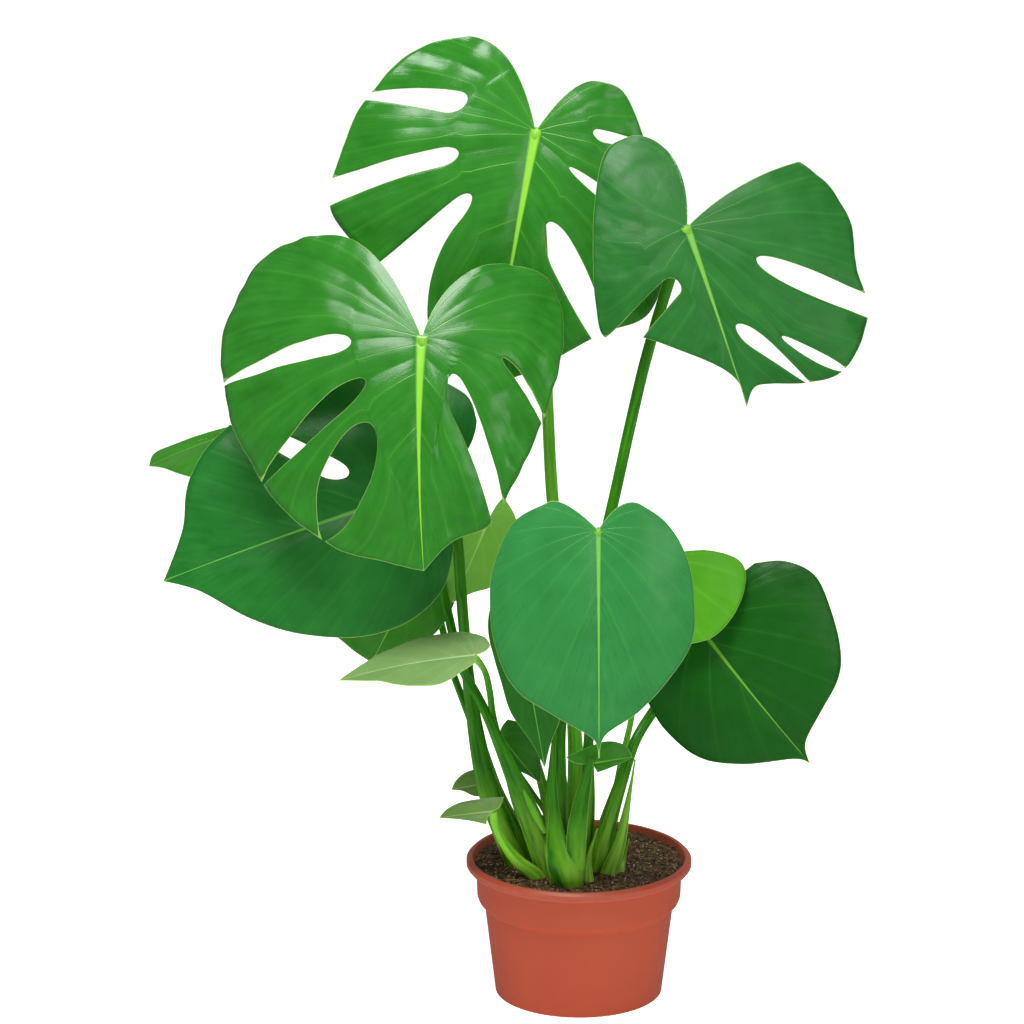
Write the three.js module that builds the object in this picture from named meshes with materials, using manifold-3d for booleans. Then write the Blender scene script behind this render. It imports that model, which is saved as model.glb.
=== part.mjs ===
// A split-leaf plant (Monstera deliciosa, also sold as split-leaf philodendron) in a moulded plastic
// grower's pot. Millimetres, +Z up, origin at the centre of the pot's underside, -Y is the front.
//
// Pot, potting soil, and one blade and one stalk for every leaf, with a few bare sheaths and a shoot.
// A stalk is a sheathing petiole: wide and flat where it clasps its neighbours in the soil, slim and
// round where it carries its blade.

import * as THREE from "three";
import Module from "manifold-3d";
import { mergeVertices } from "three/addons/utils/BufferGeometryUtils.js";

const wasm = await Module();
wasm.setup();

// ---------------------------------------------------------------- driving dimensions
const POT_RIM_RADIUS = 105; // outside of the turned-down lip: a 21 cm pot
const POT_HEIGHT = 131;
const POT_BASE_RADIUS = 78;
const POT_WALL = 1.8;
const SOIL_TOP = 124;
const SOIL_GAP = 0.4; // clearance between the soil and what stands in it or holds it
const STALK_DEPTH = 18; // how far a stalk stands in the soil
const STALK_GAP = 0.4; // clearance between neighbouring stalks
const BLADE_THICKNESS = 1;

const { degToRad: deg, lerp, clamp, smoothstep } = THREE.MathUtils;
const vec2 = (x, y) => new THREE.Vector2(x, y);
const vec3 = (x, y, z) => new THREE.Vector3(x, y, z);

// ---------------------------------------------------------------- solids
function solidOf(geometry) {
  const bare = geometry.index ? geometry.toNonIndexed() : geometry.clone();
  const positions = new THREE.BufferGeometry().setAttribute("position", bare.getAttribute("position"));
  const merged = mergeVertices(positions, 1e-3);
  return new wasm.Manifold(
    new wasm.Mesh({
      numProp: 3,
      vertProperties: merged.attributes.position.array,
      triVerts: new Uint32Array(merged.index.array),
    }),
  );
}

function geometryOf(solid) {
  const mesh = solid.getMesh();
  return new THREE.BufferGeometry()
    .setAttribute("position", new THREE.BufferAttribute(new Float32Array(mesh.vertProperties), 3))
    .setIndex(new THREE.BufferAttribute(new Uint32Array(mesh.triVerts), 1));
}

const largestOf = (solid) => solid.decompose().reduce((a, b) => (b.volume() > a.volume() ? b : a));

// ---------------------------------------------------------------- pot
// Injection-moulded: a tapered wall, a wider collar under a turned-down lip, and a base that stands on
// its centre pad and foot ring with a raised drainage channel between them.
const COLLAR_RADIUS = 95;
const COLLAR_BOTTOM = 90;
const SHOULDER_RADIUS = 88;
const LIP_HEIGHT = 9;
const LIP_INNER_RADIUS = 98.5;
const FOOT_RING_INNER = 68;
const PAD_RADIUS = 32;
const CHANNEL_HEIGHT = 3;
const DRAIN_HOLES = 8;
const DRAIN_RADIUS = 5;
const DRAIN_RING = (FOOT_RING_INNER + PAD_RADIUS) / 2;
const POT_SEGMENTS = 40;
const LIP_BOTTOM = POT_HEIGHT - LIP_HEIGHT;

// The cavity's outline from the rim down to the floor; the soil follows it at SOIL_GAP.
const POT_INSIDE = [
  [LIP_INNER_RADIUS, POT_HEIGHT - 1.5],
  [LIP_INNER_RADIUS - 1, LIP_BOTTOM + 4],
  [COLLAR_RADIUS + 1.2 - POT_WALL, LIP_BOTTOM - 1],
  [COLLAR_RADIUS - POT_WALL, COLLAR_BOTTOM + 4],
  [SHOULDER_RADIUS - POT_WALL, COLLAR_BOTTOM - 6],
  [POT_BASE_RADIUS - POT_WALL, CHANNEL_HEIGHT + POT_WALL],
];

function potGeometry() {
  const outside = [
    [0, 0],
    [PAD_RADIUS, 0],
    [PAD_RADIUS + 2, CHANNEL_HEIGHT],
    [FOOT_RING_INNER - 2, CHANNEL_HEIGHT],
    [FOOT_RING_INNER, 0],
    [POT_BASE_RADIUS, 0],
    [SHOULDER_RADIUS, COLLAR_BOTTOM - 6],
    [COLLAR_RADIUS - 1.5, COLLAR_BOTTOM],
    [COLLAR_RADIUS, COLLAR_BOTTOM + 4],
    [COLLAR_RADIUS + 1.2, LIP_BOTTOM + 1],
    [POT_RIM_RADIUS - 1.6, LIP_BOTTOM],
    [POT_RIM_RADIUS, LIP_BOTTOM + 2],
    [POT_RIM_RADIUS, POT_HEIGHT - 2.5],
    [POT_RIM_RADIUS - 2.5, POT_HEIGHT],
    [LIP_INNER_RADIUS + 1, POT_HEIGHT],
  ];
  const profile = [...outside, ...POT_INSIDE, [0, CHANNEL_HEIGHT + POT_WALL]].map(([r, z]) => vec2(r, z));
  let pot = solidOf(new THREE.LatheGeometry(profile, POT_SEGMENTS).rotateX(Math.PI / 2));
  for (let i = 0; i < DRAIN_HOLES; i++) {
    const angle = (2 * Math.PI * (i + 0.5)) / DRAIN_HOLES;
    const drill = new THREE.CylinderGeometry(DRAIN_RADIUS, DRAIN_RADIUS, 20, 12).rotateX(Math.PI / 2);
    drill.translate(DRAIN_RING * Math.cos(angle), DRAIN_RING * Math.sin(angle), 0);
    pot = pot.subtract(solidOf(drill));
  }
  return geometryOf(pot);
}

// The root ball fills the pot to SOIL_TOP, with a socket for everything that stands in it.
function soilGeometry(standing) {
  const above = POT_INSIDE.findIndex(([, z]) => z < SOIL_TOP);
  const [[r1, z1], [r2, z2]] = POT_INSIDE.slice(above - 1, above + 1);
  const brim = [lerp(r1, r2, (SOIL_TOP - z1) / (z2 - z1)), SOIL_TOP];
  const [floorRadius, floorHeight] = POT_INSIDE.at(-1);
  const wall = [[floorRadius, floorHeight + SOIL_GAP], ...POT_INSIDE.slice(above, -1).reverse(), brim];
  const profile = [[0, floorHeight + SOIL_GAP], ...wall.map(([r, z]) => [r - SOIL_GAP, z]), [0, SOIL_TOP]];
  const lathe = new THREE.LatheGeometry(profile.map(([r, z]) => vec2(r, z)), POT_SEGMENTS);
  let soil = solidOf(lathe.rotateX(Math.PI / 2));
  for (const piece of standing) soil = soil.subtract(solidOf(piece));
  return geometryOf(largestOf(soil));
}

// ---------------------------------------------------------------- blade
// A flat blade has its midrib on +Y, from the stalk at (0, 0) to the tip at (0, length). Each half is
// a sheaf of vein lines: v = 0 ends at the tip, v = 1 at the crown of the lobe behind the stalk, and u
// runs along a vein from the midrib (0) to the margin (1).
const VEIN_SPREAD = 0.6; // veins with v above this all start at the stalk
const VEIN_GATHER = 2.2; // how much the veins crowd towards the stalk
const VEIN_BOW = 0.12;

function veinPoint(leaf, half, v, u) {
  const end = half.margin.getPoint(clamp(v, 0, 1));
  const start = vec2(0, leaf.length * Math.max(0, 1 - v / VEIN_SPREAD) ** VEIN_GATHER);
  const bowed = start.clone().lerp(end, 0.5).add(vec2(0, -VEIN_BOW * start.distanceTo(end)));
  const notch = vec2(half.notch[0] * end.x, half.notch[1] * end.y);
  const control = bowed.lerp(notch, smoothstep(v, 0.8, 1));
  return new THREE.QuadraticBezierCurve(start, control, end).getPoint(u);
}

// Half the width of a slit at a share t of its length, from its inner end to the margin. It opens over
// the share `round`, and keeps its width for longer the greater `hold` is.
const slitHalfWidth = ({ wide, mouth, round, hold }, t) =>
  (lerp(wide, mouth, t ** hold) / 2) * Math.sqrt(1 - (1 - Math.min(t / round, 1)) ** 2);

const INNER_ROWS = 2;
const OUTER_ROWS = 4;
const WIDEST_COLUMN = 0.15; // in v
const WHOLE_SPLIT = 0.45;

// Columns shared by both halves, so that their vertices meet on the midrib: one at every slit, and
// more between them.
function columnsOf(leaf) {
  const slits = [...leaf.left.slits, ...leaf.right.slits].map(({ v }) => v);
  const bounds = [...new Set([0, ...slits, 1])].sort((a, b) => a - b);
  return bounds.slice(1).flatMap((high, i) => {
    const steps = Math.ceil((high - bounds[i]) / WIDEST_COLUMN);
    return Array.from({ length: steps }, (_, k) => lerp(bounds[i], high, k / steps));
  }).concat(1);
}

// Flat points of one half: grid[lobe][column][row]. A slit parts two lobes from its inner end on.
function halfGrid(leaf, half) {
  const edgeAt = (slit, u, way) => {
    if (!slit.wide || u <= slit.from) return slit.v;
    const t = (u - slit.from) / (1 - slit.from);
    const centre = lerp(slit.v, slit.end, t);
    const span = veinPoint(leaf, half, centre + 0.01, u).distanceTo(veinPoint(leaf, half, centre - 0.01, u));
    return centre + (way * slitHalfWidth(slit, t) * 0.02) / span;
  };
  const ends = [{ v: 0 }, ...half.slits, { v: 1 }];
  return ends.slice(1).map((high, i) => {
    const low = ends[i];
    const columns = columnsOf(leaf).filter((v) => v >= low.v && v <= high.v);
    return columns.map((column) => {
      const share = (column - low.v) / (high.v - low.v);
      const [first, last] = [low.from ?? high.from ?? WHOLE_SPLIT, high.from ?? low.from ?? WHOLE_SPLIT];
      const split = lerp(first, last, share);
      return Array.from({ length: INNER_ROWS + OUTER_ROWS + 1 }, (_, r) => {
        const outer = (r - INNER_ROWS) / OUTER_ROWS;
        const u = outer <= 0 ? (split * r) / INNER_ROWS : lerp(split, 1, outer ** 1.5);
        return veinPoint(leaf, half, lerp(edgeAt(low, u, 1), edgeAt(high, u, -1), share), u);
      });
    });
  });
}

// Bends the flat blade: each half lifts from the midrib by `fold` and curls down towards its margin by
// `curl`, and the midrib arches down towards the tip (`droop`) and behind the stalk (`nod`).
function bend(leaf, side, flat, lift) {
  const half = side > 0 ? leaf.left : leaf.right;
  const arch = deg(flat.y >= 0 ? leaf.droop : leaf.nod) / leaf.length;
  const angle = -arch * flat.y;
  const spine = vec2(Math.sin(arch * flat.y) / arch, (Math.cos(angle) - 1) / arch);
  const turn = deg(half.curl) / half.width;
  const rise = deg(half.fold);
  const tilt = rise - turn * flat.x;
  const x = (Math.sin(rise) - Math.sin(tilt)) / turn - lift * Math.sin(tilt);
  const z = (Math.cos(tilt) - Math.cos(rise)) / turn + lift * Math.cos(tilt);
  return vec3(side * x, spine.x - z * Math.sin(angle), spine.y + z * Math.cos(angle));
}

// A blade hangs tip down facing the front, then `turn` turns it about its midrib, `lean` brings its
// tip forward, and `clock` swings the tip towards -X as a clock's hand goes on from six.
function hang({ at, clock, lean, turn }) {
  const facing = new THREE.Matrix4().makeBasis(vec3(-1, 0, 0), vec3(0, 0, -1), vec3(0, -1, 0));
  return new THREE.Matrix4()
    .makeTranslation(...at)
    .multiply(new THREE.Matrix4().makeRotationY(deg(clock)))
    .multiply(new THREE.Matrix4().makeRotationX(-deg(lean)))
    .multiply(facing)
    .multiply(new THREE.Matrix4().makeRotationY(deg(turn)));
}

// A closed slab: the sheet's two faces and a wall round every free edge.
function bladeGeometry(leaf) {
  const flats = [];
  const known = new Map();
  const vertex = (side, flat) => {
    const key = `${Math.round(side * flat.x * 20)},${Math.round(flat.y * 20)}`;
    if (!known.has(key)) known.set(key, flats.push([side, flat]) - 1);
    return known.get(key);
  };
  const sheet = [];
  for (const side of [1, -1])
    for (const lobe of halfGrid(leaf, side > 0 ? leaf.left : leaf.right))
      for (let c = 0; c + 1 < lobe.length; c++)
        for (let r = 0; r + 1 < lobe[c].length; r++) {
          const quad = [lobe[c][r], lobe[c][r + 1], lobe[c + 1][r + 1], lobe[c + 1][r]];
          const [a, b, d, e] = quad.map((flat) => vertex(side, flat));
          const pair = side > 0 ? [[a, d, b], [a, e, d]] : [[a, b, d], [a, d, e]];
          sheet.push(...pair.filter((f) => new Set(f).size === 3));
        }
  const place = hang(leaf);
  const face = (lift, rib) =>
    flats.map(([side, flat]) => {
      const ribDepth = Math.abs(flat.x) < 0.01 ? rib * clamp(1 - flat.y / leaf.length, 0, 1) : 0;
      return bend(leaf, side, flat, lift - ribDepth).applyMatrix4(place);
    });
  const n = flats.length;
  const edges = new Set(sheet.flatMap(([a, b, c]) => [`${a},${b}`, `${b},${c}`, `${c},${a}`]));
  const triangles = sheet.flatMap(([a, b, c]) => [[a, b, c], [n + a, n + c, n + b]]);
  for (const edge of edges) {
    const [p, q] = edge.split(",").map(Number);
    if (!edges.has(`${q},${p}`)) triangles.push([p, n + q, q], [p, n + p, n + q]);
  }
  const points = [...face(BLADE_THICKNESS / 2, 0), ...face(-BLADE_THICKNESS / 2, leaf.rib)];
  return new THREE.BufferGeometry()
    .setAttribute("position", new THREE.BufferAttribute(new Float32Array(points.flatMap((p) => p.toArray())), 3))
    .setIndex(triangles.flat());
}

// ---------------------------------------------------------------- stalk
const STALK_SIDES = 8;
const STALK_STEPS = 10;

// From its foot in the soil along `via` to just under the blade, or to a free tip.
function stalkCurve({ foot, via, end }) {
  const start = vec3(...foot, SOIL_TOP);
  const buried = vec3(...foot, SOIL_TOP - STALK_DEPTH);
  return new THREE.CatmullRomCurve3([buried, start, ...via.map((p) => vec3(...p)), end], false, "centripetal");
}

// A tube with an elliptic section, wide and flat at the foot. `extra` swells it.
function tubeGeometry(stalk, extra = 0) {
  const { wide, thick, slim, sheath } = stalk;
  const curve = stalkCurve(stalk);
  const tube = new THREE.CylinderGeometry(1, 1, 1, STALK_SIDES, STALK_STEPS);
  const position = tube.getAttribute("position");
  for (let i = 0; i < position.count; i++) {
    const t = (position.getY(i) + 0.5) ** 1.3;
    const along = curve.getTangentAt(t);
    const across = vec3(1, 0, 0).addScaledVector(along, -along.x).normalize();
    const outward = across.clone().cross(along);
    const grown = smoothstep(t, 0, sheath);
    const p = curve.getPointAt(t);
    p.addScaledVector(across, position.getX(i) * (lerp(wide, slim, grown) + extra));
    p.addScaledVector(outward, position.getZ(i) * (lerp(thick, slim, grown) + extra));
    position.setXYZ(i, p.x, p.y, p.z);
  }
  return tube;
}

// ---------------------------------------------------------------- leaves
// `at` is where the blade meets its stalk. `left` and `right` are the blade's halves as it hangs before
// the front, each with its flat margin from the tip to the crown of its lobe.
const slit = ([v, from], end, wide, mouth, round = 0.16, hold = 2) => ({ v, from, end, wide, mouth, round, hold });

const LEAVES = [
  {
    name: "top", colour: "#2f9a1f", at: [-41, 60, 805], clock: 11.1, lean: 20, turn: 4,
    length: 236, droop: 22, nod: 12, rib: 3,
    left: {
      fold: 8, curl: 26, notch: [0.43, 1.09],
      edge: [[63, 195], [126, 144], [174, 101], [171, 38], [154, -10], [122, -54], [76, -74]],
      slits: [slit([0.31, 0.34], 0.21, 18, 78), slit([0.44, 0.37], 0.46, 17, 26), slit([0.7, 0.43], 0.7, 24, 9)],
    },
    right: {
      fold: 8, curl: 26, notch: [0.53, 1.08],
      edge: [[34, 216], [68, 189], [96, 168], [133, 144], [139, 85], [118, 23], [94, -20], [72, -50], [49, -54]],
      slits: [slit([0.29, 0.29], 0.31, 30, 14, 0.3, 3), slit([0.49, 0.26], 0.57, 13, 12, 0.6, 2), slit([0.72, 0.49], 0.73, 13, 10)],
    },
    stalk: {
      foot: [-5, 12], via: [[-3, 0, 186], [-4, 12, 240], [-13, 30, 351], [-25, 48, 462], [-30, 66, 552], [-35, 84, 680], [-39, 84, 764]],
      wide: 10, thick: 7, slim: 5.6, sheath: 0.3,
    },
  },
  {
    name: "front_left", colour: "#2a8a2a", at: [-143, -60, 641], clock: 3.4, lean: 30, turn: 15,
    length: 210, droop: 30, nod: 16, rib: 3,
    left: {
      fold: 12, curl: 40, notch: [0.45, 1.07],
      edge: [[39, 199], [91, 181], [144, 136], [180, 80], [199, -1], [180, -62], [147, -94], [104, -99]],
      slits: [slit([0.29, 0.36], 0.25, 48, 3, 0.35, 5), slit([0.41, 0.31], 0.39, 22, 4, 0.3, 3), slit([0.56, 0.33], 0.57, 20, 3, 0.2, 2)],
    },
    right: {
      fold: -8, curl: 44, notch: [0.22, 0.88],
      edge: [[25, 186], [64, 169], [92, 119], [115, 76], [136, -23], [116, -74], [75, -80]],
      slits: [slit([0.42, 0.28], 0.31, 34, 20), slit([0.63, 0.58], 0.58, 12, 5, 0.6, 3)],
    },
    stalk: {
      foot: [-56, -10], via: [[-84, -8, 198], [-100, -5, 285], [-107, -6, 362], [-114, -14, 460], [-129, -28, 548]],
      wide: 13, thick: 7, slim: 5.4, sheath: 0.45,
    },
  },
  {
    name: "upper_right", colour: "#2c7a3a", at: [94, -20, 733], clock: -20.6, lean: 25, turn: -8,
    length: 170, droop: 22, nod: 12, rib: 3,
    left: {
      fold: 8, curl: 34, notch: [-1.4, 0.85],
      edge: [[0, 150], [11, 130], [42, 103], [71, 81], [105, 66], [90, 1], [70, -52], [45, -92], [19, -97]],
      slits: [slit([0.39, 0.43], 0.49, 18, 38)],
    },
    right: {
      fold: 8, curl: 30, notch: [0.41, 0.88],
      edge: [[11, 156], [26, 157], [60, 167], [95, 166], [132, 128], [135, 85], [145, 43], [139, 4], [118, -28]],
      slits: [slit([0.23, 0.46], 0.33, 17, 3, 0.6, 3), slit([0.36, 0.72], 0.44, 13, 4, 1, 5), slit([0.52, 0.4], 0.58, 22, 22, 0.5, 2)],
    },
    stalk: {
      foot: [-12, -63], via: [[-22, -40, 170], [-21, -36, 227], [-17, -30, 278], [3, -20, 365], [26, -8, 458], [58, 12, 600], [79, 18, 673]],
      wide: 16, thick: 6, slim: 5.2, sheath: 0.3,
    },
  },
  {
    name: "left_large", colour: "#24703a", at: [-146, -5, 486], clock: 74.1, lean: 10, turn: 24,
    length: 252, droop: 20, nod: 12, rib: 2,
    left: {
      fold: 8, curl: 24, notch: [0.2, 0.8],
      edge: [[37, 219], [83, 195], [116, 147], [134, 63], [115, -18], [75, -65], [45, -69]],
      slits: [slit([0.38, 0.3], 0.44, 22, 12)],
    },
    right: {
      fold: 8, curl: 24, notch: [0.2, 0.8],
      edge: [[22, 221], [61, 185], [90, 146], [111, 95], [112, 49], [94, 10], [61, -12]],
      slits: [],
    },
    stalk: {
      foot: [-26, -42], via: [[-48, -40, 188], [-71, -42, 247], [-92, -38, 295], [-108, -20, 320], [-120, 4, 359], [-134, 18, 422]],
      wide: 14, thick: 6, slim: 4.2, sheath: 0.5,
    },
  },
  {
    name: "front", colour: "#3a9d45", at: [14, -120, 480], clock: -0.3, lean: 22, turn: 0,
    length: 206, droop: 24, nod: 12, rib: 2,
    left: {
      fold: 12, curl: 42, notch: [0.77, 1.51],
      edge: [[6, 187], [39, 166], [73, 145], [91, 116], [100, 74], [96, 33], [76, -8], [47, -23]],
      slits: [],
    },
    right: {
      fold: 12, curl: 42, notch: [0.53, 1.32],
      edge: [[6, 184], [37, 161], [66, 131], [85, 102], [89, 69], [82, 28], [63, -5], [37, -23]],
      slits: [],
    },
    stalk: {
      foot: [5, -10], via: [[8, -18, 192], [8, -32, 255], [12, -56, 339], [14, -84, 414]],
      wide: 8, thick: 5, slim: 4, sheath: 0.5,
    },
  },
  {
    name: "right", colour: "#1f6a28", at: [108, 20, 351], clock: -40.3, lean: 24, turn: 0,
    length: 167, droop: 22, nod: 12, rib: 2,
    left: {
      fold: 10, curl: 30, notch: [0.15, 0.8],
      edge: [[9, 154], [47, 129], [77, 99], [87, 57], [81, 21], [67, 0], [45, -6]],
      slits: [],
    },
    right: {
      fold: 10, curl: 30, notch: [0.15, 0.8],
      edge: [[10, 149], [40, 135], [71, 122], [90, 103], [107, 68], [115, 34], [102, 6], [78, -10]],
      slits: [],
    },
    stalk: {
      foot: [17, -26], via: [[25, -24, 165], [39, -20, 212], [53, 0, 246], [78, 31, 277], [98, 43, 313]],
      wide: 11, thick: 6, slim: 4.8, sheath: 0.5,
    },
  },
  {
    name: "back_left", colour: "#2c7a30", at: [-167, 125, 536], clock: 87.8, lean: 4, turn: 84,
    length: 245, droop: 24, nod: 10, rib: 1.5,
    left: {
      fold: 10, curl: 20, notch: [0.15, 0.8],
      edge: [[24, 234], [6, 190], [13, 133], [34, 65], [46, 12], [24, -8]],
      slits: [],
    },
    right: {
      fold: 10, curl: 20, notch: [0.15, 0.8],
      edge: [[76, 203], [70, 171], [57, 136], [58, 87], [57, 40], [41, 8]],
      slits: [],
    },
    stalk: {
      foot: [-55, 29], via: [[-81, 34, 194], [-98, 44, 254], [-105, 52, 325], [-115, 90, 392], [-132, 118, 472], [-154, 132, 517]],
      wide: 7, thick: 4, slim: 3.6, sheath: 0.4,
    },
  },
  {
    name: "light_right", colour: "#4fa535", at: [69, 10, 415], clock: -6.2, lean: 22, turn: 0,
    length: 97, droop: 20, nod: 10, rib: 1.5,
    left: {
      fold: 10, curl: 30, notch: [0.15, 0.8],
      edge: [[9, 88], [33, 71], [45, 42], [41, 5], [22, -13]],
      slits: [],
    },
    right: {
      fold: 10, curl: 30, notch: [0.15, 0.8],
      edge: [[16, 82], [45, 76], [67, 58], [82, 29], [78, 8], [53, -3], [28, -5]],
      slits: [],
    },
    stalk: {
      foot: [25, 12], via: [[34, 4, 184], [40, 10, 221], [48, 16, 257], [59, 38, 320], [67, 32, 370]],
      wide: 6, thick: 4, slim: 2.6, sheath: 0.5,
    },
  },
  {
    name: "left_small", colour: "#6f9c55", at: [-97, -95, 356], clock: 86, lean: 4, turn: 74,
    length: 124, droop: 14, nod: 16, rib: 1,
    left: {
      fold: 14, curl: 26, notch: [0.15, 0.8],
      edge: [[13, 101], [30, 66], [40, 35], [37, 4], [26, -11], [12, -16]],
      slits: [],
    },
    right: {
      fold: 14, curl: 26, notch: [0.15, 0.8],
      edge: [[20, 91], [38, 60], [41, 33], [28, 13], [15, -1]],
      slits: [],
    },
    stalk: {
      foot: [-32, -15], via: [[-59, -22, 193], [-73, -26, 248], [-80, -38, 281], [-83, -60, 312], [-88, -84, 340]],
      wide: 8, thick: 4, slim: 3, sheath: 0.5,
    },
  },
  {
    name: "under_left", colour: "#2f7326", at: [-143, 45, 405], clock: 29.2, lean: 16, turn: 10,
    length: 109, droop: 20, nod: 10, rib: 1.5,
    left: {
      fold: 10, curl: 26, notch: [0.15, 0.8],
      edge: [[22, 106], [55, 95], [78, 65], [79, 26], [59, -5]],
      slits: [],
    },
    right: {
      fold: 10, curl: 26, notch: [0.15, 0.8],
      edge: [[17, 92], [39, 60], [43, 24], [32, -11], [9, -36]],
      slits: [],
    },
    stalk: {
      foot: [-44, 7], via: [[-72, 8, 183], [-92, 10, 236], [-108, 14, 279], [-118, 24, 305], [-129, 44, 347], [-139, 54, 378]],
      wide: 7, thick: 4, slim: 3.4, sheath: 0.5,
    },
  },
  {
    name: "light_middle", colour: "#5fa244", at: [-84, 30, 448], clock: 22.5, lean: 14, turn: -8,
    length: 85, droop: 16, nod: 10, rib: 1,
    left: {
      fold: 10, curl: 26, notch: [0.15, 0.8],
      edge: [[16, 73], [27, 49], [28, 22], [21, -3]],
      slits: [],
    },
    right: {
      fold: 10, curl: 26, notch: [0.15, 0.8],
      edge: [[13, 69], [30, 54], [39, 26], [26, -7], [6, -24]],
      slits: [],
    },
    stalk: {
      foot: [-24, 29], via: [[-31, 18, 179], [-46, 26, 236], [-60, 34, 292], [-69, 40, 348], [-77, 40, 406]],
      wide: 6, thick: 4, slim: 2.8, sheath: 0.5,
    },
  },
  {
    name: "behind_front", colour: "#2c7c28", at: [-55, -40, 365], clock: -9.8, lean: 12, turn: 0,
    length: 134, droop: 16, nod: 10, rib: 1.5,
    left: {
      fold: 10, curl: 26, notch: [0.15, 0.8],
      edge: [[8, 107], [22, 75], [26, 43], [30, 2], [24, -22], [11, -29]],
      slits: [],
    },
    right: {
      fold: 10, curl: 26, notch: [0.15, 0.8],
      edge: [[9, 112], [25, 83], [39, 46], [38, 4], [26, -20]],
      slits: [],
    },
    stalk: {
      foot: [-12, 7], via: [[-14, -8, 188], [-20, -14, 249], [-32, -16, 298], [-46, -22, 338]],
      wide: 6, thick: 4, slim: 2.8, sheath: 0.5,
    },
  },
  {
    name: "cupped", colour: "#225c24", at: [-73, -14, 253], clock: -39.6, lean: 16, turn: 0,
    length: 58, droop: 20, nod: 10, rib: 1,
    left: {
      fold: 10, curl: 26, notch: [0.15, 0.8],
      edge: [[3, 46], [10, 28], [11, 8], [4, -6]],
      slits: [],
    },
    right: {
      fold: 10, curl: 26, notch: [0.15, 0.8],
      edge: [[10, 47], [22, 28], [24, 6], [15, -8]],
      slits: [],
    },
    stalk: {
      foot: [-20, -15], via: [[-28, -4, 167], [-43, 0, 192], [-58, 4, 214], [-67, 2, 232]],
      wide: 5, thick: 3, slim: 2, sheath: 0.6,
    },
  },
  {
    name: "small_cap", colour: "#2c6e2c", at: [8, -60, 241], clock: -103.7, lean: 10, turn: -20,
    length: 41, droop: 40, nod: 10, rib: 0.8,
    left: {
      fold: 10, curl: 20, notch: [0.15, 0.8],
      edge: [[4, 30], [7, 17], [9, 6]],
      slits: [],
    },
    right: {
      fold: 10, curl: 20, notch: [0.15, 0.8],
      edge: [[12, 35], [18, 19], [15, 0], [10, -20]],
      slits: [],
    },
    stalk: {
      foot: [0, -37], via: [[-4, -50, 169], [2, -55, 205], [7, -59, 222]],
      wide: 9, thick: 4, slim: 1.8, sheath: 0.9,
    },
  },
  {
    name: "small_left", colour: "#3f8a38", at: [-80, -62, 196], clock: 86, lean: 4, turn: 35,
    length: 50, droop: 14, nod: 20, rib: 0.8,
    left: {
      fold: 10, curl: 20, notch: [0.15, 0.8],
      edge: [[7, 42], [12, 28], [13, 9], [13, -11]],
      slits: [],
    },
    right: {
      fold: 10, curl: 20, notch: [0.15, 0.8],
      edge: [[3, 36], [7, 21], [12, 7]],
      slits: [],
    },
    stalk: {
      foot: [-39, -47], via: [[-57, -50, 143], [-72, -56, 166], [-78, -60, 183]],
      wide: 8, thick: 5, slim: 3.4, sheath: 0.9,
    },
  },
  {
    name: "small_behind", colour: "#35803a", at: [-89, 22, 194], clock: 81.5, lean: 4, turn: 30,
    length: 31, droop: 14, nod: 20, rib: 0.8,
    left: {
      fold: 10, curl: 20, notch: [0.15, 0.8],
      edge: [[8, 25], [14, 14], [15, 1]],
      slits: [],
    },
    right: {
      fold: 10, curl: 20, notch: [0.15, 0.8],
      edge: [[3, 21], [10, 11], [12, 1]],
      slits: [],
    },
    stalk: {
      foot: [-51, 29], via: [[-68, 14, 161], [-80, 22, 178]],
      wide: 5, thick: 4, slim: 2, sheath: 0.9,
    },
  },
];

// Bare pieces that stand in the soil with no blade: cast-off sheaths and a new shoot.
const SHEATHS = [
  { name: "young_shoot", foot: [39, -29], via: [[42, -14, 134]], tip: [46, -16, 153], wide: 4, thick: 2.6 },
  { name: "right_sheath", foot: [27, -37], via: [[37, -30, 152], [45, -30, 196]], tip: [51, -26, 234], wide: 8, thick: 3.4 },
  { name: "front_sheath", foot: [8, -55], via: [[8, -44, 142]], tip: [16, -44, 173], wide: 6, thick: 2.6 },
];

// ---------------------------------------------------------------- assembly
const group = new THREE.Group();
group.name = "potted_philodendron";

function add(name, geometry, colour, roughness) {
  const material = new THREE.MeshStandardMaterial({ color: colour, roughness, metalness: 0 });
  const mesh = new THREE.Mesh(geometry, material);
  mesh.name = name;
  group.add(mesh);
}

for (const leaf of LEAVES)
  for (const half of [leaf.left, leaf.right]) {
    const margin = [[0, leaf.length], ...half.edge].map(([x, y]) => vec2(x, y));
    half.margin = new THREE.SplineCurve(margin);
    half.width = Math.max(...half.edge.map(([x]) => x));
  }

// A stalk stops clear of the blade's underside, whatever angle it comes in at.
function stalkEnd(leaf) {
  const at = vec3(...leaf.at);
  const normal = vec3(0, 0, 1).transformDirection(hang(leaf));
  const arrive = at.clone().sub(vec3(...leaf.stalk.via.at(-1))).normalize();
  const slope = leaf.stalk.slim * Math.sqrt(1 - arrive.dot(normal) ** 2);
  return at.addScaledVector(normal, -(BLADE_THICKNESS / 2 + leaf.rib + slope + 0.6));
}

const stalks = [
  ...LEAVES.map((leaf) => ({ name: `${leaf.name}_stalk`, ...leaf.stalk, end: stalkEnd(leaf) })),
  ...SHEATHS.map(({ tip, ...sheath }) => ({ slim: 0.8, sheath: 1, ...sheath, end: vec3(...tip) })),
].sort((a, b) => a.foot[1] - b.foot[1]);

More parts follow.
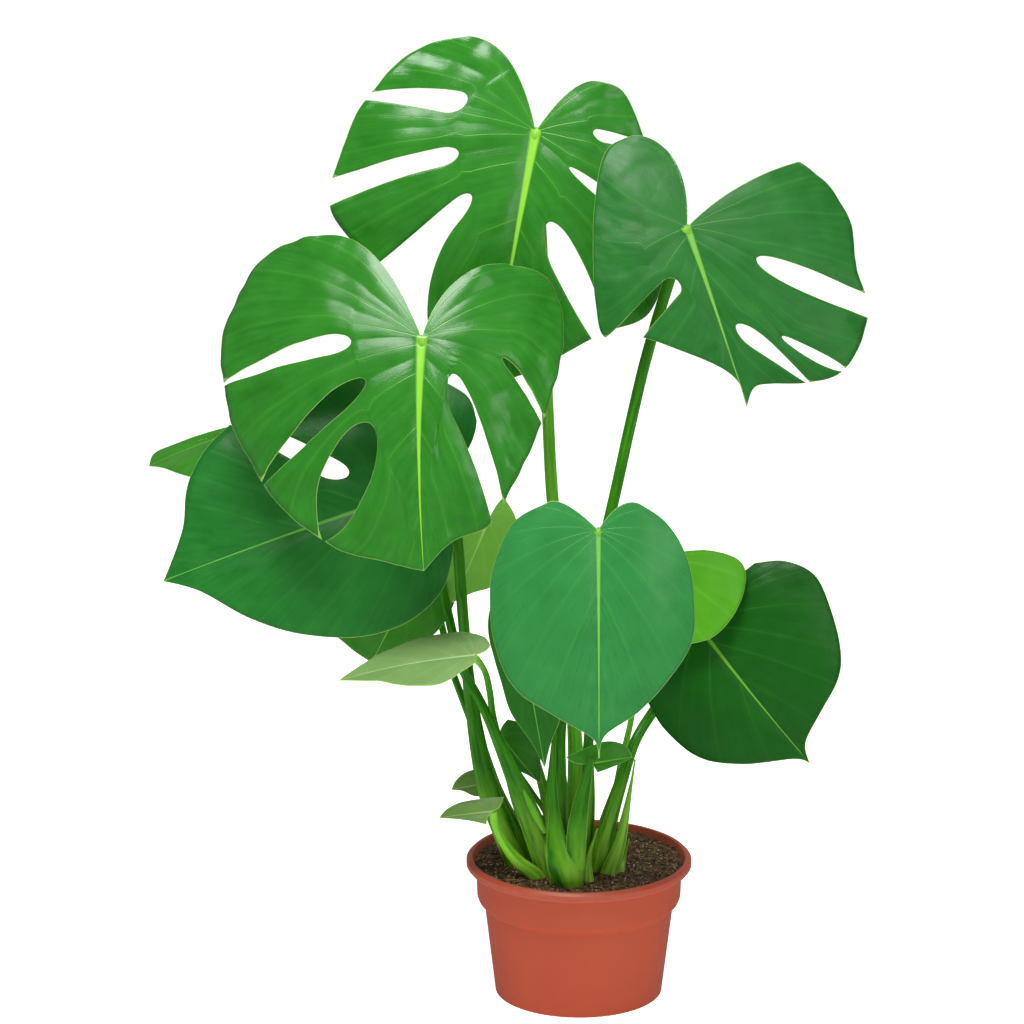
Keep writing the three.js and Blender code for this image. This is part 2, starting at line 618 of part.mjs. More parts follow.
// Each stalk gives way to those in front of it, as sheaths clasp one another at the foot.
const taken = [];
for (const stalk of stalks) {
  let solid = solidOf(tubeGeometry(stalk));
  for (const other of taken) solid = solid.subtract(other);
  taken.push(solidOf(tubeGeometry(stalk, STALK_GAP)));
  add(stalk.name, geometryOf(largestOf(solid)), "#4b8f34", 0.5);
}

for (const leaf of LEAVES) add(`${leaf.name}_blade`, bladeGeometry(leaf), leaf.colour, 0.35);
add("soil", soilGeometry(stalks.map((stalk) => tubeGeometry(stalk, SOIL_GAP))), "#33241c", 0.95);
add("pot", potGeometry(), "#b9553a", 0.5);

export default group;
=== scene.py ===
import math
import random
from bisect import bisect_left

import bmesh
import bpy
from mathutils import Matrix, Vector, noise
from mathutils.kdtree import KDTree


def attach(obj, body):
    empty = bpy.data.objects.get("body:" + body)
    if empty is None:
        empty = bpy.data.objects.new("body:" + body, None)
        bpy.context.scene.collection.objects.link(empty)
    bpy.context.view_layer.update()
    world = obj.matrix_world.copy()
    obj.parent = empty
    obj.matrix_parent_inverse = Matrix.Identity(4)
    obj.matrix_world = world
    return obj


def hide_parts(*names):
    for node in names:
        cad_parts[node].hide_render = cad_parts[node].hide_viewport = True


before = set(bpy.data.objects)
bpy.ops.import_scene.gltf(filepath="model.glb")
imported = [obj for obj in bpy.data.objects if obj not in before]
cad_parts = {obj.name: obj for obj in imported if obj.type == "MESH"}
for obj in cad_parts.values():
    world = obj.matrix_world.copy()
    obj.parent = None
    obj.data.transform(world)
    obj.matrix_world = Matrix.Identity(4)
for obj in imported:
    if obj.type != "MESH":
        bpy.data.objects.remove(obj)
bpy.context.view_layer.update()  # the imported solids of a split-leaf plant, Monstera deliciosa, in a grower's pot
scene = bpy.context.scene


# ---------------------------------------------------------------- studio
# The plant stands on a wide pale floor, under big soft lamps in a bright room. The camera looks down on
# it a little from the front, through a long lens, as for a catalogue.
def linear(code):
    """The linear colour of an sRGB hex code, with alpha."""
    parts = [int(code[i : i + 2], 16) / 255 for i in (1, 3, 5)]
    return [c / 12.92 if c <= 0.04045 else ((c + 0.055) / 1.055) ** 2.4 for c in parts] + [1]


def feed(node, feeds):
    """Gives each input socket named in feeds its value, or the socket it is linked from."""
    for socket, value in feeds.items():
        if isinstance(value, bpy.types.NodeSocket):
            node.id_data.links.new(value, node.inputs[socket])
        else:
            node.inputs[socket].default_value = value


def add_node(tree, kind, feeds=None, out=0, **settings):
    """Adds a node with its settings, feeds it, and gives its output socket `out`."""
    made = tree.nodes.new("ShaderNode" + kind)
    for name, value in settings.items():
        setattr(made, name, value)
    feed(made, feeds or {})
    return made.outputs[out]


IN_COLOUR = {"data_type": "RGBA", "out": 2}  # makes a Mix node mix colours


def new_material(name, feeds):
    """A material with one Principled shader, and its tree."""
    material = bpy.data.materials.new(name)
    material.use_nodes = True
    tree = material.node_tree
    shader = tree.nodes["Principled BSDF"]
    feed(shader, feeds)
    return material, tree, shader


def finish_piece(name, mesh, materials, rounded=True):
    """Turns a bmesh in metres into an object with its place in its mesh, shaded as rounded or as facets."""
    data = bpy.data.meshes.new(name)
    mesh.to_mesh(data)
    mesh.free()
    for material in materials:
        data.materials.append(material)
    data.polygons.foreach_set("use_smooth", [rounded] * len(data.polygons))
    piece = bpy.data.objects.new(name, data)
    scene.collection.objects.link(piece)
    return piece


floor_mesh = bmesh.new()
bmesh.ops.create_grid(floor_mesh, x_segments=4, y_segments=4, size=15)
# Opal acrylic, matte and lit from below: an even, faintly cloudy white with no edge to be seen.
opal_acrylic, tree, shader = new_material(
    "opal_acrylic_light_table", {"Roughness": 0.9, "Emission Strength": 0.8}
)
cloudy = add_node(tree, "TexNoise", {"Scale": 1.5, "Detail": 2})
white = add_node(tree, "Mix", {0: cloudy, 6: linear("#f7f7f6"), 7: linear("#fdfdfc")}, **IN_COLOUR)
feed(shader, {"Base Color": white, "Emission Color": linear("#ffffff")})
floor = finish_piece("floor", floor_mesh, [opal_acrylic])
floor.visible_glossy = False  # so that the bright floor doesn't veil the waxy leaves from below

camera = bpy.data.objects.new("camera", bpy.data.cameras.new("camera"))
scene.collection.objects.link(camera)
camera.data.lens = 159.66  # millimetres
camera.data.clip_end = 60
camera.location = (-0.0625, -4.0, 1.5666)
LOOKING_DOWN = 15.418  # degrees
camera.rotation_euler = (math.radians(90 - LOOKING_DOWN), 0, 0)
scene.camera = camera

# Each softbox: name, place, where it points, side in metres, watts.
SOFTBOXES = [
    ("key_softbox", (-0.35, -0.9, 2.5), (0, 0, 0.5), 1.1, 56),
    ("fill_softbox", (1.6, -2.4, 1.6), (0, 0, 0.45), 1.2, 13),
    ("rim_softbox", (0.5, 1.1, 2.4), (0, 0, 0.5), 1.2, 20),
]
for name, place, target, side, watts in SOFTBOXES:
    lamp = bpy.data.objects.new(name, bpy.data.lights.new(name, "AREA"))
    lamp.data.size = side
    lamp.data.energy = watts
    lamp.location = place
    lamp.rotation_euler = (Vector(target) - Vector(place)).to_track_quat("-Z", "Y").to_euler()
    scene.collection.objects.link(lamp)
room = bpy.data.worlds.new("bright_room")
room.use_nodes = True
feed(room.node_tree.nodes["Background"], {"Color": linear("#ffffff"), "Strength": 0.24})
scene.world = room
scene.view_settings.view_transform = "Standard"


# ---------------------------------------------------------------- pot
# The grower's pot: injection-moulded polypropylene, drafted so that pots nest, with a turned-down lip to
# lift it by, a stiffening collar below that, and drain holes in a channel round the foot. Each profile is
# (radius, height) in millimetres, from the middle of the underside up over the lip and down inside.
POT_OUTSIDE = [(0, 0), (32, 0), (34, 3), (66, 3), (68, 0), (78, 0), (88, 84), (93.5, 90), (95, 94),
               (96.2, 123), (103.4, 122), (105, 124), (105, 128.5), (102.5, 131), (99.5, 131)]
POT_INSIDE = [(98.5, 129.5), (97.5, 126), (94.4, 121), (93.2, 94), (86.2, 84), (76.2, 4.8), (0, 4.8)]
HOLE_COUNT, HOLE_RADIUS, HOLE_CIRCLE = 8, 5, 50
TO_METRES = Matrix.Scale(0.001, 4)


def turned(outline, steps):
    """A bmesh turned about the Z axis from an outline of (radius, height)."""
    mesh = bmesh.new()
    points = [mesh.verts.new((radius, 0, height)) for radius, height in outline]
    edges = [mesh.edges.new(pair) for pair in zip(points, points[1:])]
    bmesh.ops.spin(mesh, geom=points + edges, axis=(0, 0, 1), cent=(0, 0, 0), angle=math.tau, steps=steps,
                   use_merge=True)
    bmesh.ops.remove_doubles(mesh, verts=mesh.verts, dist=1e-4)
    bmesh.ops.recalc_face_normals(mesh, faces=mesh.faces)
    return mesh


def put_modifier(piece, kind, **settings):
    """Adds a modifier with its settings."""
    modifier = piece.modifiers.new(kind.lower(), kind)
    for name, value in settings.items():
        setattr(modifier, name, value)


def apply_modifiers(piece):
    """Replaces a piece's mesh with what its modifiers make of it."""
    shaped = bpy.data.meshes.new_from_object(piece.evaluated_get(bpy.context.evaluated_depsgraph_get()))
    piece.modifiers.clear()
    piece.data = shaped


# Moulded polypropylene: an even terracotta colour, soft sheen from a spark-eroded mould, and a painted
# highlight, a mottled pale pinkish grey over the lip, so the eye sees a fine grain and a lit lip.
pot_plastic, tree, shader = new_material(
    "moulded_polypropylene", {"Roughness": 0.42, "IOR": 1.49, "Specular IOR Level": 0.4}
)
place = add_node(tree, "TexCoord", out="Object")
height = add_node(tree, "SeparateXYZ", {0: place}, out="Z")
cloud = add_node(tree, "TexNoise", {"Vector": place, "Scale": 14, "Detail": 4, "Roughness": 0.6})
body = add_node(tree, "Mix", {0: cloud, 6: linear("#a43b1b"), 7: linear("#af4522")}, **IN_COLOUR)
EASED = {"interpolation_type": "SMOOTHSTEP"}  # makes a MapRange node ease in and out
# The painted highlight comes in over 3.5 mm at the foot of the lip.
near_lip = add_node(tree, "MapRange", {0: height, 1: 0.119, 2: 0.1225}, **EASED)
speckle = add_node(tree, "TexNoise", {"Vector": place, "Scale": 90, "Detail": 5, "Roughness": 0.7})
highlight_speckle = add_node(tree, "MapRange", {0: speckle, 1: 0.35, 2: 0.8, 3: 0.15, 4: 0.6})
# Painted highlight: the lip is mixed towards a mottled pale pinkish grey.
painted_highlight = add_node(tree, "Math", {0: near_lip, 1: highlight_speckle}, operation="MULTIPLY")
colour = add_node(tree, "Mix", {0: painted_highlight, 6: body, 7: linear("#a2594a")}, **IN_COLOUR)
sheen = add_node(tree, "MapRange", {0: speckle, 1: 0.3, 2: 0.7, 3: 0.36, 4: 0.5})
# The spark-eroded grain is 0.1 mm on the real pot, drawn at 0.8 mm so that it shows.
grain = add_node(tree, "TexNoise", {"Vector": place, "Scale": 1250, "Detail": 2})
bump = add_node(tree, "Bump", {"Strength": 0.12, "Distance": 0.0004, "Height": grain})
feed(shader, {"Base Color": colour, "Roughness": sheen, "Normal": bump})

pot_mesh = turned(POT_OUTSIDE + POT_INSIDE, 160)
drills = bmesh.new()
for i in range(HOLE_COUNT):
    turn = Matrix.Rotation(math.tau * (i + 0.5) / HOLE_COUNT, 4, "Z")
    bmesh.ops.create_cone(drills, cap_ends=True, segments=32, radius1=HOLE_RADIUS, radius2=HOLE_RADIUS,
                          depth=20, matrix=turn @ Matrix.Translation((HOLE_CIRCLE, 0, 0)))
for mesh in (pot_mesh, drills):
    bmesh.ops.transform(mesh, matrix=TO_METRES, verts=mesh.verts)
pot = finish_piece("pot_shell", pot_mesh, [pot_plastic])
cutter = finish_piece("cutter", drills, [])
put_modifier(pot, "BOOLEAN", object=cutter, operation="DIFFERENCE", solver="EXACT")
apply_modifiers(pot)
bpy.data.objects.remove(cutter)
put_modifier(pot, "BEVEL", width=0.0007, segments=3, limit_method="ANGLE", angle_limit=math.radians(20))
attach(pot, "root")
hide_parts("pot")


# ---------------------------------------------------------------- potting soil
# The root ball: dark milled peat, firmed level just under the lip, with loose crumbs, chips of bark,
# root fibres and grains of sand lying on it. Below its surface it fills the pot, ring by ring.
SOIL_LEVEL, SOIL_RADIUS = 126, 96.7
SOIL_RINGS = ((93.4, 119), (92.6, 94), (85.6, 84), (75.6, 5.4))  # (radius, height)
random.seed(11)


def soil_height(x, y):
    """The soil's surface in millimetres: shallow hollows, lumps, and a slope down at the brim."""
    hollow = 1.3 * noise.noise(Vector((x, y, 0)) * 0.03)
    lumps = 1.3 * noise.fractal(Vector((x, y, 3)) * 0.16, 0.7, 2.1, 5)
    brim = smooth(math.hypot(x, y), 84, 96) * 0.9
    return SOIL_LEVEL + hollow + lumps - brim


def smooth(value, low, high):
    """Smoothstep from low to high."""
    share = min(max((value - low) / (high - low), 0), 1)
    return share * share * (3 - 2 * share)


# Damp peat is near black, matte and fibrous, with lighter brown where bits have dried. What lies on it,
# milled bark, dry root and quartz sand, is as matte but lighter, so that each bit shows as a speck.
def earthy_surface(name, dark, light, scale, rough):
    """A mottled matte surface; scale is its mottles to the metre."""
    material, tree, shader = new_material(name, {"Roughness": rough, "IOR": 1.4})
    place = add_node(tree, "TexCoord", out="Object")
    mottle = {"Vector": place, "Scale": scale, "Detail": 6, "Roughness": 0.75}
    coarse = add_node(tree, "TexNoise", mottle)
    tone = add_node(tree, "MapRange", {0: coarse, 1: 0.44, 2: 0.66})
    brown = add_node(tree, "Mix", {0: tone, 6: linear(dark), 7: linear(light)}, **IN_COLOUR)
    fine = add_node(tree, "TexNoise", {"Vector": place, "Scale": 900, "Detail": 3})
    bump = add_node(tree, "Bump", {"Strength": 0.7, "Distance": 0.0008, "Height": fine})
    feed(shader, {"Base Color": brown, "Normal": bump})
    return material


peat = earthy_surface("milled_peat", "#130c06", "#775633", 260, 0.85)
soil_mesh = bmesh.new()
# A square grid is drawn out into a disc, so that its cells stay even right across.
for vert in bmesh.ops.create_grid(soil_mesh, x_segments=170, y_segments=170, size=1)["verts"]:
    x, y = vert.co.x, vert.co.y
    vert.co.x = x * math.sqrt(1 - y * y / 2) * SOIL_RADIUS
    vert.co.y = y * math.sqrt(1 - x * x / 2) * SOIL_RADIUS
    vert.co.z = soil_height(vert.co.x, vert.co.y)
brim = [edge for edge in soil_mesh.edges if edge.is_boundary]
for radius, height in SOIL_RINGS:
    ring = bmesh.ops.extrude_edge_only(soil_mesh, edges=brim)["geom"]
    brim = [part for part in ring if isinstance(part, bmesh.types.BMEdge)]
    for vert in {vert for edge in brim for vert in edge.verts}:
        vert.co.xy = vert.co.xy.normalized() * radius
        vert.co.z = height
bmesh.ops.holes_fill(soil_mesh, edges=brim)
bmesh.ops.recalc_face_normals(soil_mesh, faces=soil_mesh.faces)
bmesh.ops.transform(soil_mesh, matrix=TO_METRES, verts=soil_mesh.verts)
soil = finish_piece("root_ball", soil_mesh, [peat])
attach(soil, "root")
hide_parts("soil")


def scattered(count, reach=94.5):
    """Places on the soil, each with a random turn."""
    for _ in range(count):
        radius, angle = reach * math.sqrt(random.random()), random.uniform(0, math.tau)
        x, y = radius * math.cos(angle), radius * math.sin(angle)
        roll = Matrix.Rotation(random.uniform(-0.5, 0.5), 4, "X")
        tilt = Matrix.Rotation(random.uniform(-0.5, 0.5), 4, "Y")
        spin = Matrix.Rotation(random.uniform(0, 3.14), 4, "Z")
        yield Matrix.Translation((x, y, soil_height(x, y))) @ (roll @ tilt) @ spin


def litter(name, mesh, material):
    """Loose bits that lie on the soil, as one piece."""
    bmesh.ops.transform(mesh, matrix=TO_METRES, verts=mesh.verts)
    piece = finish_piece(name, mesh, [material], rounded=False)
    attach(piece, "root")


crumbs = bmesh.new()
for spot in scattered(1500):
    size = random.choice((0.6, 0.9, 1.2, 1.8)) * random.uniform(0.7, 1.3)
    squash = Matrix.Diagonal((size, size * random.uniform(0.6, 1), size * random.uniform(0.5, 0.9), 1))
    made = bmesh.ops.create_icosphere(crumbs, subdivisions=1, radius=1, matrix=spot @ squash)
    for vert in made["verts"]:
        vert.co += Vector([random.uniform(-0.18, 0.18) * size for _ in range(3)])
litter("peat_crumbs", crumbs, earthy_surface("peat_crumb", "#1a1008", "#a88658", 150, 0.9))

chips = bmesh.new()
for spot in scattered(110):
    long, wide, thick = random.uniform(3, 8), random.uniform(1.2, 3), random.uniform(0.5, 1.1)
    made = bmesh.ops.create_cube(chips, size=1, matrix=spot @ Matrix.Diagonal((long, wide, thick, 1)))
    for vert in made["verts"]:
        vert.co += Vector([random.uniform(-0.25, 0.25) for _ in range(3)])
    edges = list({edge for vert in made["verts"] for edge in vert.link_edges})
    bmesh.ops.bevel(chips, geom=edges, offset=0.15, offset_type="OFFSET", affect="EDGES", segments=1,
                    profile=0.5, material=-1)
litter("bark_chips", chips, earthy_surface("pine_bark", "#40260f", "#9c7440", 320, 0.8))

fibres = bmesh.new()
for spot in scattered(260):
    long, thick, bow = random.uniform(5, 22), random.uniform(0.2, 0.5), random.uniform(-0.16, 0.16)
    # A grid rolled into a tapering tube, five faces round, along X.
    for vert in bmesh.ops.create_grid(fibres, x_segments=5, y_segments=8, size=1)["verts"]:
        angle, share = vert.co.x * math.pi, vert.co.y
        radius = thick * (0.75 - 0.25 * share)
        vert.co.x = share * long / 2
        vert.co.y = radius * math.cos(angle) + bow * long * math.sin(share * 3 + bow * 20)
        vert.co.z = radius * math.sin(angle) + 0.5 + 0.3 * abs(bow) * long * (1 - share * share)
        vert.co = spot @ vert.co
bmesh.ops.remove_doubles(fibres, verts=fibres.verts, dist=1e-4)
bmesh.ops.holes_fill(fibres, edges=[edge for edge in fibres.edges if edge.is_boundary])
bmesh.ops.recalc_face_normals(fibres, faces=fibres.faces)
litter("root_fibres", fibres, earthy_surface("dry_fibre", "#6e5030", "#c4a470", 200, 0.8))

grains = bmesh.new()
for spot in scattered(380):
    size = random.uniform(0.3, 0.95)
    raised = spot @ Matrix.Translation((0, 0, size * 0.6))
    bmesh.ops.create_icosphere(grains, subdivisions=1, radius=size, matrix=raised)
litter("sand_grains", grains, earthy_surface("quartz_sand", "#a3988a", "#e6dfd2", 400, 0.5))


# ---------------------------------------------------------------- blades
# A leaf blade is one thin leathery sheet. Veins run from its sunk midrib to the margin, the sheet rises
# between them like a quilt, and slits open between some of them as the leaf unrolls.
VEIN_SPREAD = 0.6  # the share of the veins that leave the midrib above its foot; the rest fan out there
VEIN_GATHER = 2.2  # how they crowd towards the foot
VEIN_BOW = 0.12  # how far a vein bows towards the stalk, as a share of its length
INNER_SHARE = 0.3  # of the rows across half a blade, those from the midrib to where slits begin
WHOLE_SPLIT = 0.45  # the same place, as a share of a vein, in a half with no slits
BLADE_THICKNESS = 0.8
COLUMN_WIDTH, ROWS = 3.2, 40  # of the sheet's grid: millimetres along the margin, and rows across


def cubic(start, end, leave, arrive, t):
    """The point at t, 0 to 1, of the cubic between two points, with its slopes at both."""
    bend_2 = 3 * (end - start) - 2 * leave - arrive
    bend_3 = 2 * (start - end) + leave + arrive
    return start + t * (leave + t * (bend_2 + t * bend_3))


def spline_point(points, place):
    """The point at place, 0 to 1, of an even Catmull-Rom spline."""
    step = min(max(place, 0), 1) * (len(points) - 1)
    i = min(int(step), len(points) - 2)
    before, start, end, after = (points[min(max(i + k, 0), len(points) - 1)] for k in (-1, 0, 1, 2))
    return cubic(start, end, (end - before) / 2, (after - start) / 2, step - i)


def vein_point(leaf, half, v, u):
    """Vein v, 0 at the tip and 1 at the lobe's crown, at u, 0 on the midrib and 1 on the margin."""
    end = spline_point(half["margin"], v)
    start = Vector((0, leaf["length"] * max(0, 1 - v / VEIN_SPREAD) ** VEIN_GATHER))
    control = (start + end) / 2 - Vector((0, VEIN_BOW * (end - start).length))
    notch = Vector((half["notch"][0] * end.x, half["notch"][1] * end.y))
    control = control.lerp(notch, smooth(v, 0.8, 1))
    return (1 - u) ** 2 * start + 2 * u * (1 - u) * control + u * u * end


def slit_edge(leaf, half, slit, u, way):
    """The v of a slit's edge at u; way is 1 for the edge nearer the crown."""
    if len(slit) < 5 or u <= slit[1]:
        return slit[0]
    v, start, end, wide, mouth, *shape = slit
    rounding, hold = shape or (0.16, 2)
    t = (u - start) / (1 - start)
    centre = v + (end - v) * t
    reach = math.sqrt(1 - (1 - min(t / rounding, 1)) ** 2)
    half_width = (wide + (mouth - wide) * t**hold) / 2 * reach
    span = (vein_point(leaf, half, centre + 0.01, u) - vein_point(leaf, half, centre - 0.01, u)).length
    return centre + way * half_width * 0.02 / span


def blade_sheet(leaf):
    """The flat blade in millimetres, midrib on +Y from the stalk at the origin to the tip. Corner layers
    hold what the surface's pattern follows: vein is (vein count, u, millimetres a vein apart), lamina is
    (x, y, distance to a free edge) and rib the distance to the midrib in half-widths of the midrib."""
    sheet = bmesh.new()
    vein = sheet.loops.layers.float_vector.new("vein")
    lamina = sheet.loops.layers.float_vector.new("lamina")
    rib = sheet.loops.layers.float.new("rib")
    side_of = sheet.verts.layers.float.new("side")
    stops = sorted({0, 1} | {slit[0] for side in ("left", "right") for slit in leaf[side]["slits"]})
    margins = [leaf[side]["margin"] for side in ("left", "right")]
    girth = max(sum((b - a).length for a, b in zip(margin, margin[1:])) for margin in margins)
    columns = []
    for low, high in zip(stops, stops[1:]):
        steps = max(2, math.ceil((high - low) * girth / COLUMN_WIDTH))
        columns += [low + (high - low) * k / steps for k in range(steps)]
    columns.append(1)
    for side, way in (("left", 1), ("right", -1)):
        half = leaf[side]
        ends = [(0,)] + half["slits"] + [(1,)]
        counted = 0
        for low, high in zip(ends, ends[1:]):
            split_low = low[1] if len(low) > 1 else high[1] if len(high) > 1 else WHOLE_SPLIT
            split_high = high[1] if len(high) > 1 else split_low
            lobe = [v for v in columns if low[0] <= v <= high[0]]
            count = max(1, round(leaf["veins"] * (high[0] - low[0])))
            grid = bmesh.ops.create_grid(sheet, x_segments=len(lobe) - 1, y_segments=ROWS, size=1)["verts"]
            spots = {}
            for vert in grid:
                c = round((vert.co.x + 1) / 2 * (len(lobe) - 1))
                r = round((vert.co.y + 1) / 2 * ROWS)
                share = (lobe[c] - low[0]) / (high[0] - low[0])
                split = split_low + (split_high - split_low) * share
                row = r / ROWS
                outer = (row - INNER_SHARE) / (1 - INNER_SHARE)
                u = split * row / INNER_SHARE if outer <= 0 else split + (1 - split) * outer**1.5
                near, far = slit_edge(leaf, half, low, u, 1), slit_edge(leaf, half, high, u, -1)
                point = vein_point(leaf, half, near + (far - near) * share, u)
                spots[c, r] = (vert, point, counted + count * share, u)
            for (c, r), (vert, point, phase, u) in spots.items():
                before, after = spots[max(c - 1, 0), r], spots[min(c + 1, len(lobe) - 1), r]
                span = (after[1] - before[1]).length / (after[2] - before[2])
                vert.co = (way * point.x, point.y, 0)
                vert[side_of] = way
                for loop in vert.link_loops:
                    loop[vein] = (phase, u, span)
            counted += count
    bmesh.ops.remove_doubles(sheet, verts=sheet.verts, dist=0.02)
    bmesh.ops.reverse_faces(sheet, faces=[face for face in sheet.faces if face.normal.z < 0])
    rim = [vert for vert in sheet.verts if vert.is_boundary]
    edge_tree = KDTree(len(rim))
    for i, vert in enumerate(rim):
        edge_tree.insert(vert.co, i)
    edge_tree.balance()
    for vert in sheet.verts:
        gap = edge_tree.find(vert.co)[2]
        along = min(max(vert.co.y / leaf["length"], 0), 1)
        rib_width = 0.4 + leaf["midrib"] * (1 - along) ** 2
        off_rib = abs(vert.co.x) / rib_width + max(0, -2 - vert.co.y)
        for loop in vert.link_loops:
            loop[lamina] = (vert.co.x, vert.co.y, gap)
            loop[rib] = off_rib
    return sheet


def bend(leaf, half, x, y, lift):
    """The place of a flat point at x from the midrib once its half is folded up and curled down and the
    midrib is arched; x and the result's x are from the midrib outwards."""
    arch = math.radians(leaf["droop"] if y >= 0 else leaf["nod"]) / leaf["length"]
    angle = -arch * y
    turn = math.radians(half["curl"]) / half["width"]
    rise = math.radians(half["fold"])
    tilt = rise - turn * x
    out = (math.sin(rise) - math.sin(tilt)) / turn - lift * math.sin(tilt)
    up = (math.cos(tilt) - math.cos(rise)) / turn + lift * math.cos(tilt)
    along, drop = math.sin(arch * y) / arch, (math.cos(angle) - 1) / arch
    return Vector((out, along - up * math.sin(angle), drop + up * math.cos(angle)))


def hang(leaf):
    """Where a blade hangs: its tip down and its face to the front, then turned about its midrib, leant
    forward, and swung as a clock's hand."""
    facing = Matrix(((-1, 0, 0, 0), (0, 0, -1, 0), (0, -1, 0, 0), (0, 0, 0, 1)))
    return (
        Matrix.Translation(leaf["at"])
        @ Matrix.Rotation(math.radians(leaf["clock"]), 4, "Y")
        @ Matrix.Rotation(-math.radians(leaf["lean"]), 4, "X")
        @ facing
        @ Matrix.Rotation(math.radians(leaf["turn"]), 4, "Y")
    )


def quilt(leaf, phase, u, span, x, y):
    """How far the sheet stands above its plain bend, in millimetres."""
    between = abs(phase % 1 - 0.5) * 2
    pad = math.cos(math.pi * between / 2) ** 0.8 * (1 - u) ** 0.5
    # It is flat beside the midrib, and where the veins crowd together.
    pad *= smooth(span, 8, 46) * smooth(x, 0, 16)
    groove_width = 1.2 + 0.012 * leaf["length"]
    sunk = math.exp(-((x / groove_width) ** 2)) * smooth(y, -3, 4) * (1 - y / leaf["length"])
    spot = Vector((x, y, 7 * leaf["clock"])) / leaf["length"]
    ripple = (noise.noise(spot * 5.5) + 0.3 * noise.noise(spot * 15)) * u * u
    return leaf["quilt"] * pad - 0.006 * leaf["length"] * sunk + leaf["ripple"] * ripple


def grow_blade(name, leaf):
    """The blade as a piece: quilted, bent and hung, with its thickness."""
    for side in ("left", "right"):
        half = leaf[side]
        half["margin"] = [Vector((0, leaf["length"]))] + [Vector(point) for point in half["edge"]]
        half["width"] = max(x for x, _ in half["edge"])
    sheet = blade_sheet(leaf)
    vein = sheet.loops.layers.float_vector["vein"]
    side_of = sheet.verts.layers.float["side"]
    place = TO_METRES @ hang(leaf)
    spots = []
    for vert in sheet.verts:
        way = vert[side_of]
        half = leaf["left" if way > 0 else "right"]
        flat_x, flat_y = way * vert.co.x, vert.co.y
        phase, u, span = vert.link_loops[0][vein]
        lift = quilt(leaf, phase, u, span, flat_x, flat_y)
        bent = bend(leaf, half, flat_x, flat_y, lift)
        spots.append(place @ Vector((way * bent.x, bent.y, bent.z)))
    for vert, spot in zip(sheet.verts, spots):
        vert.co = spot
    upper, under, margin = leaf["surface"]
    piece = finish_piece("leaf_" + name, sheet, [upper, under, margin])
    put_modifier(piece, "SOLIDIFY", thickness=BLADE_THICKNESS / 1000, offset=0, material_offset=1,
                 material_offset_rim=2)
    return piece


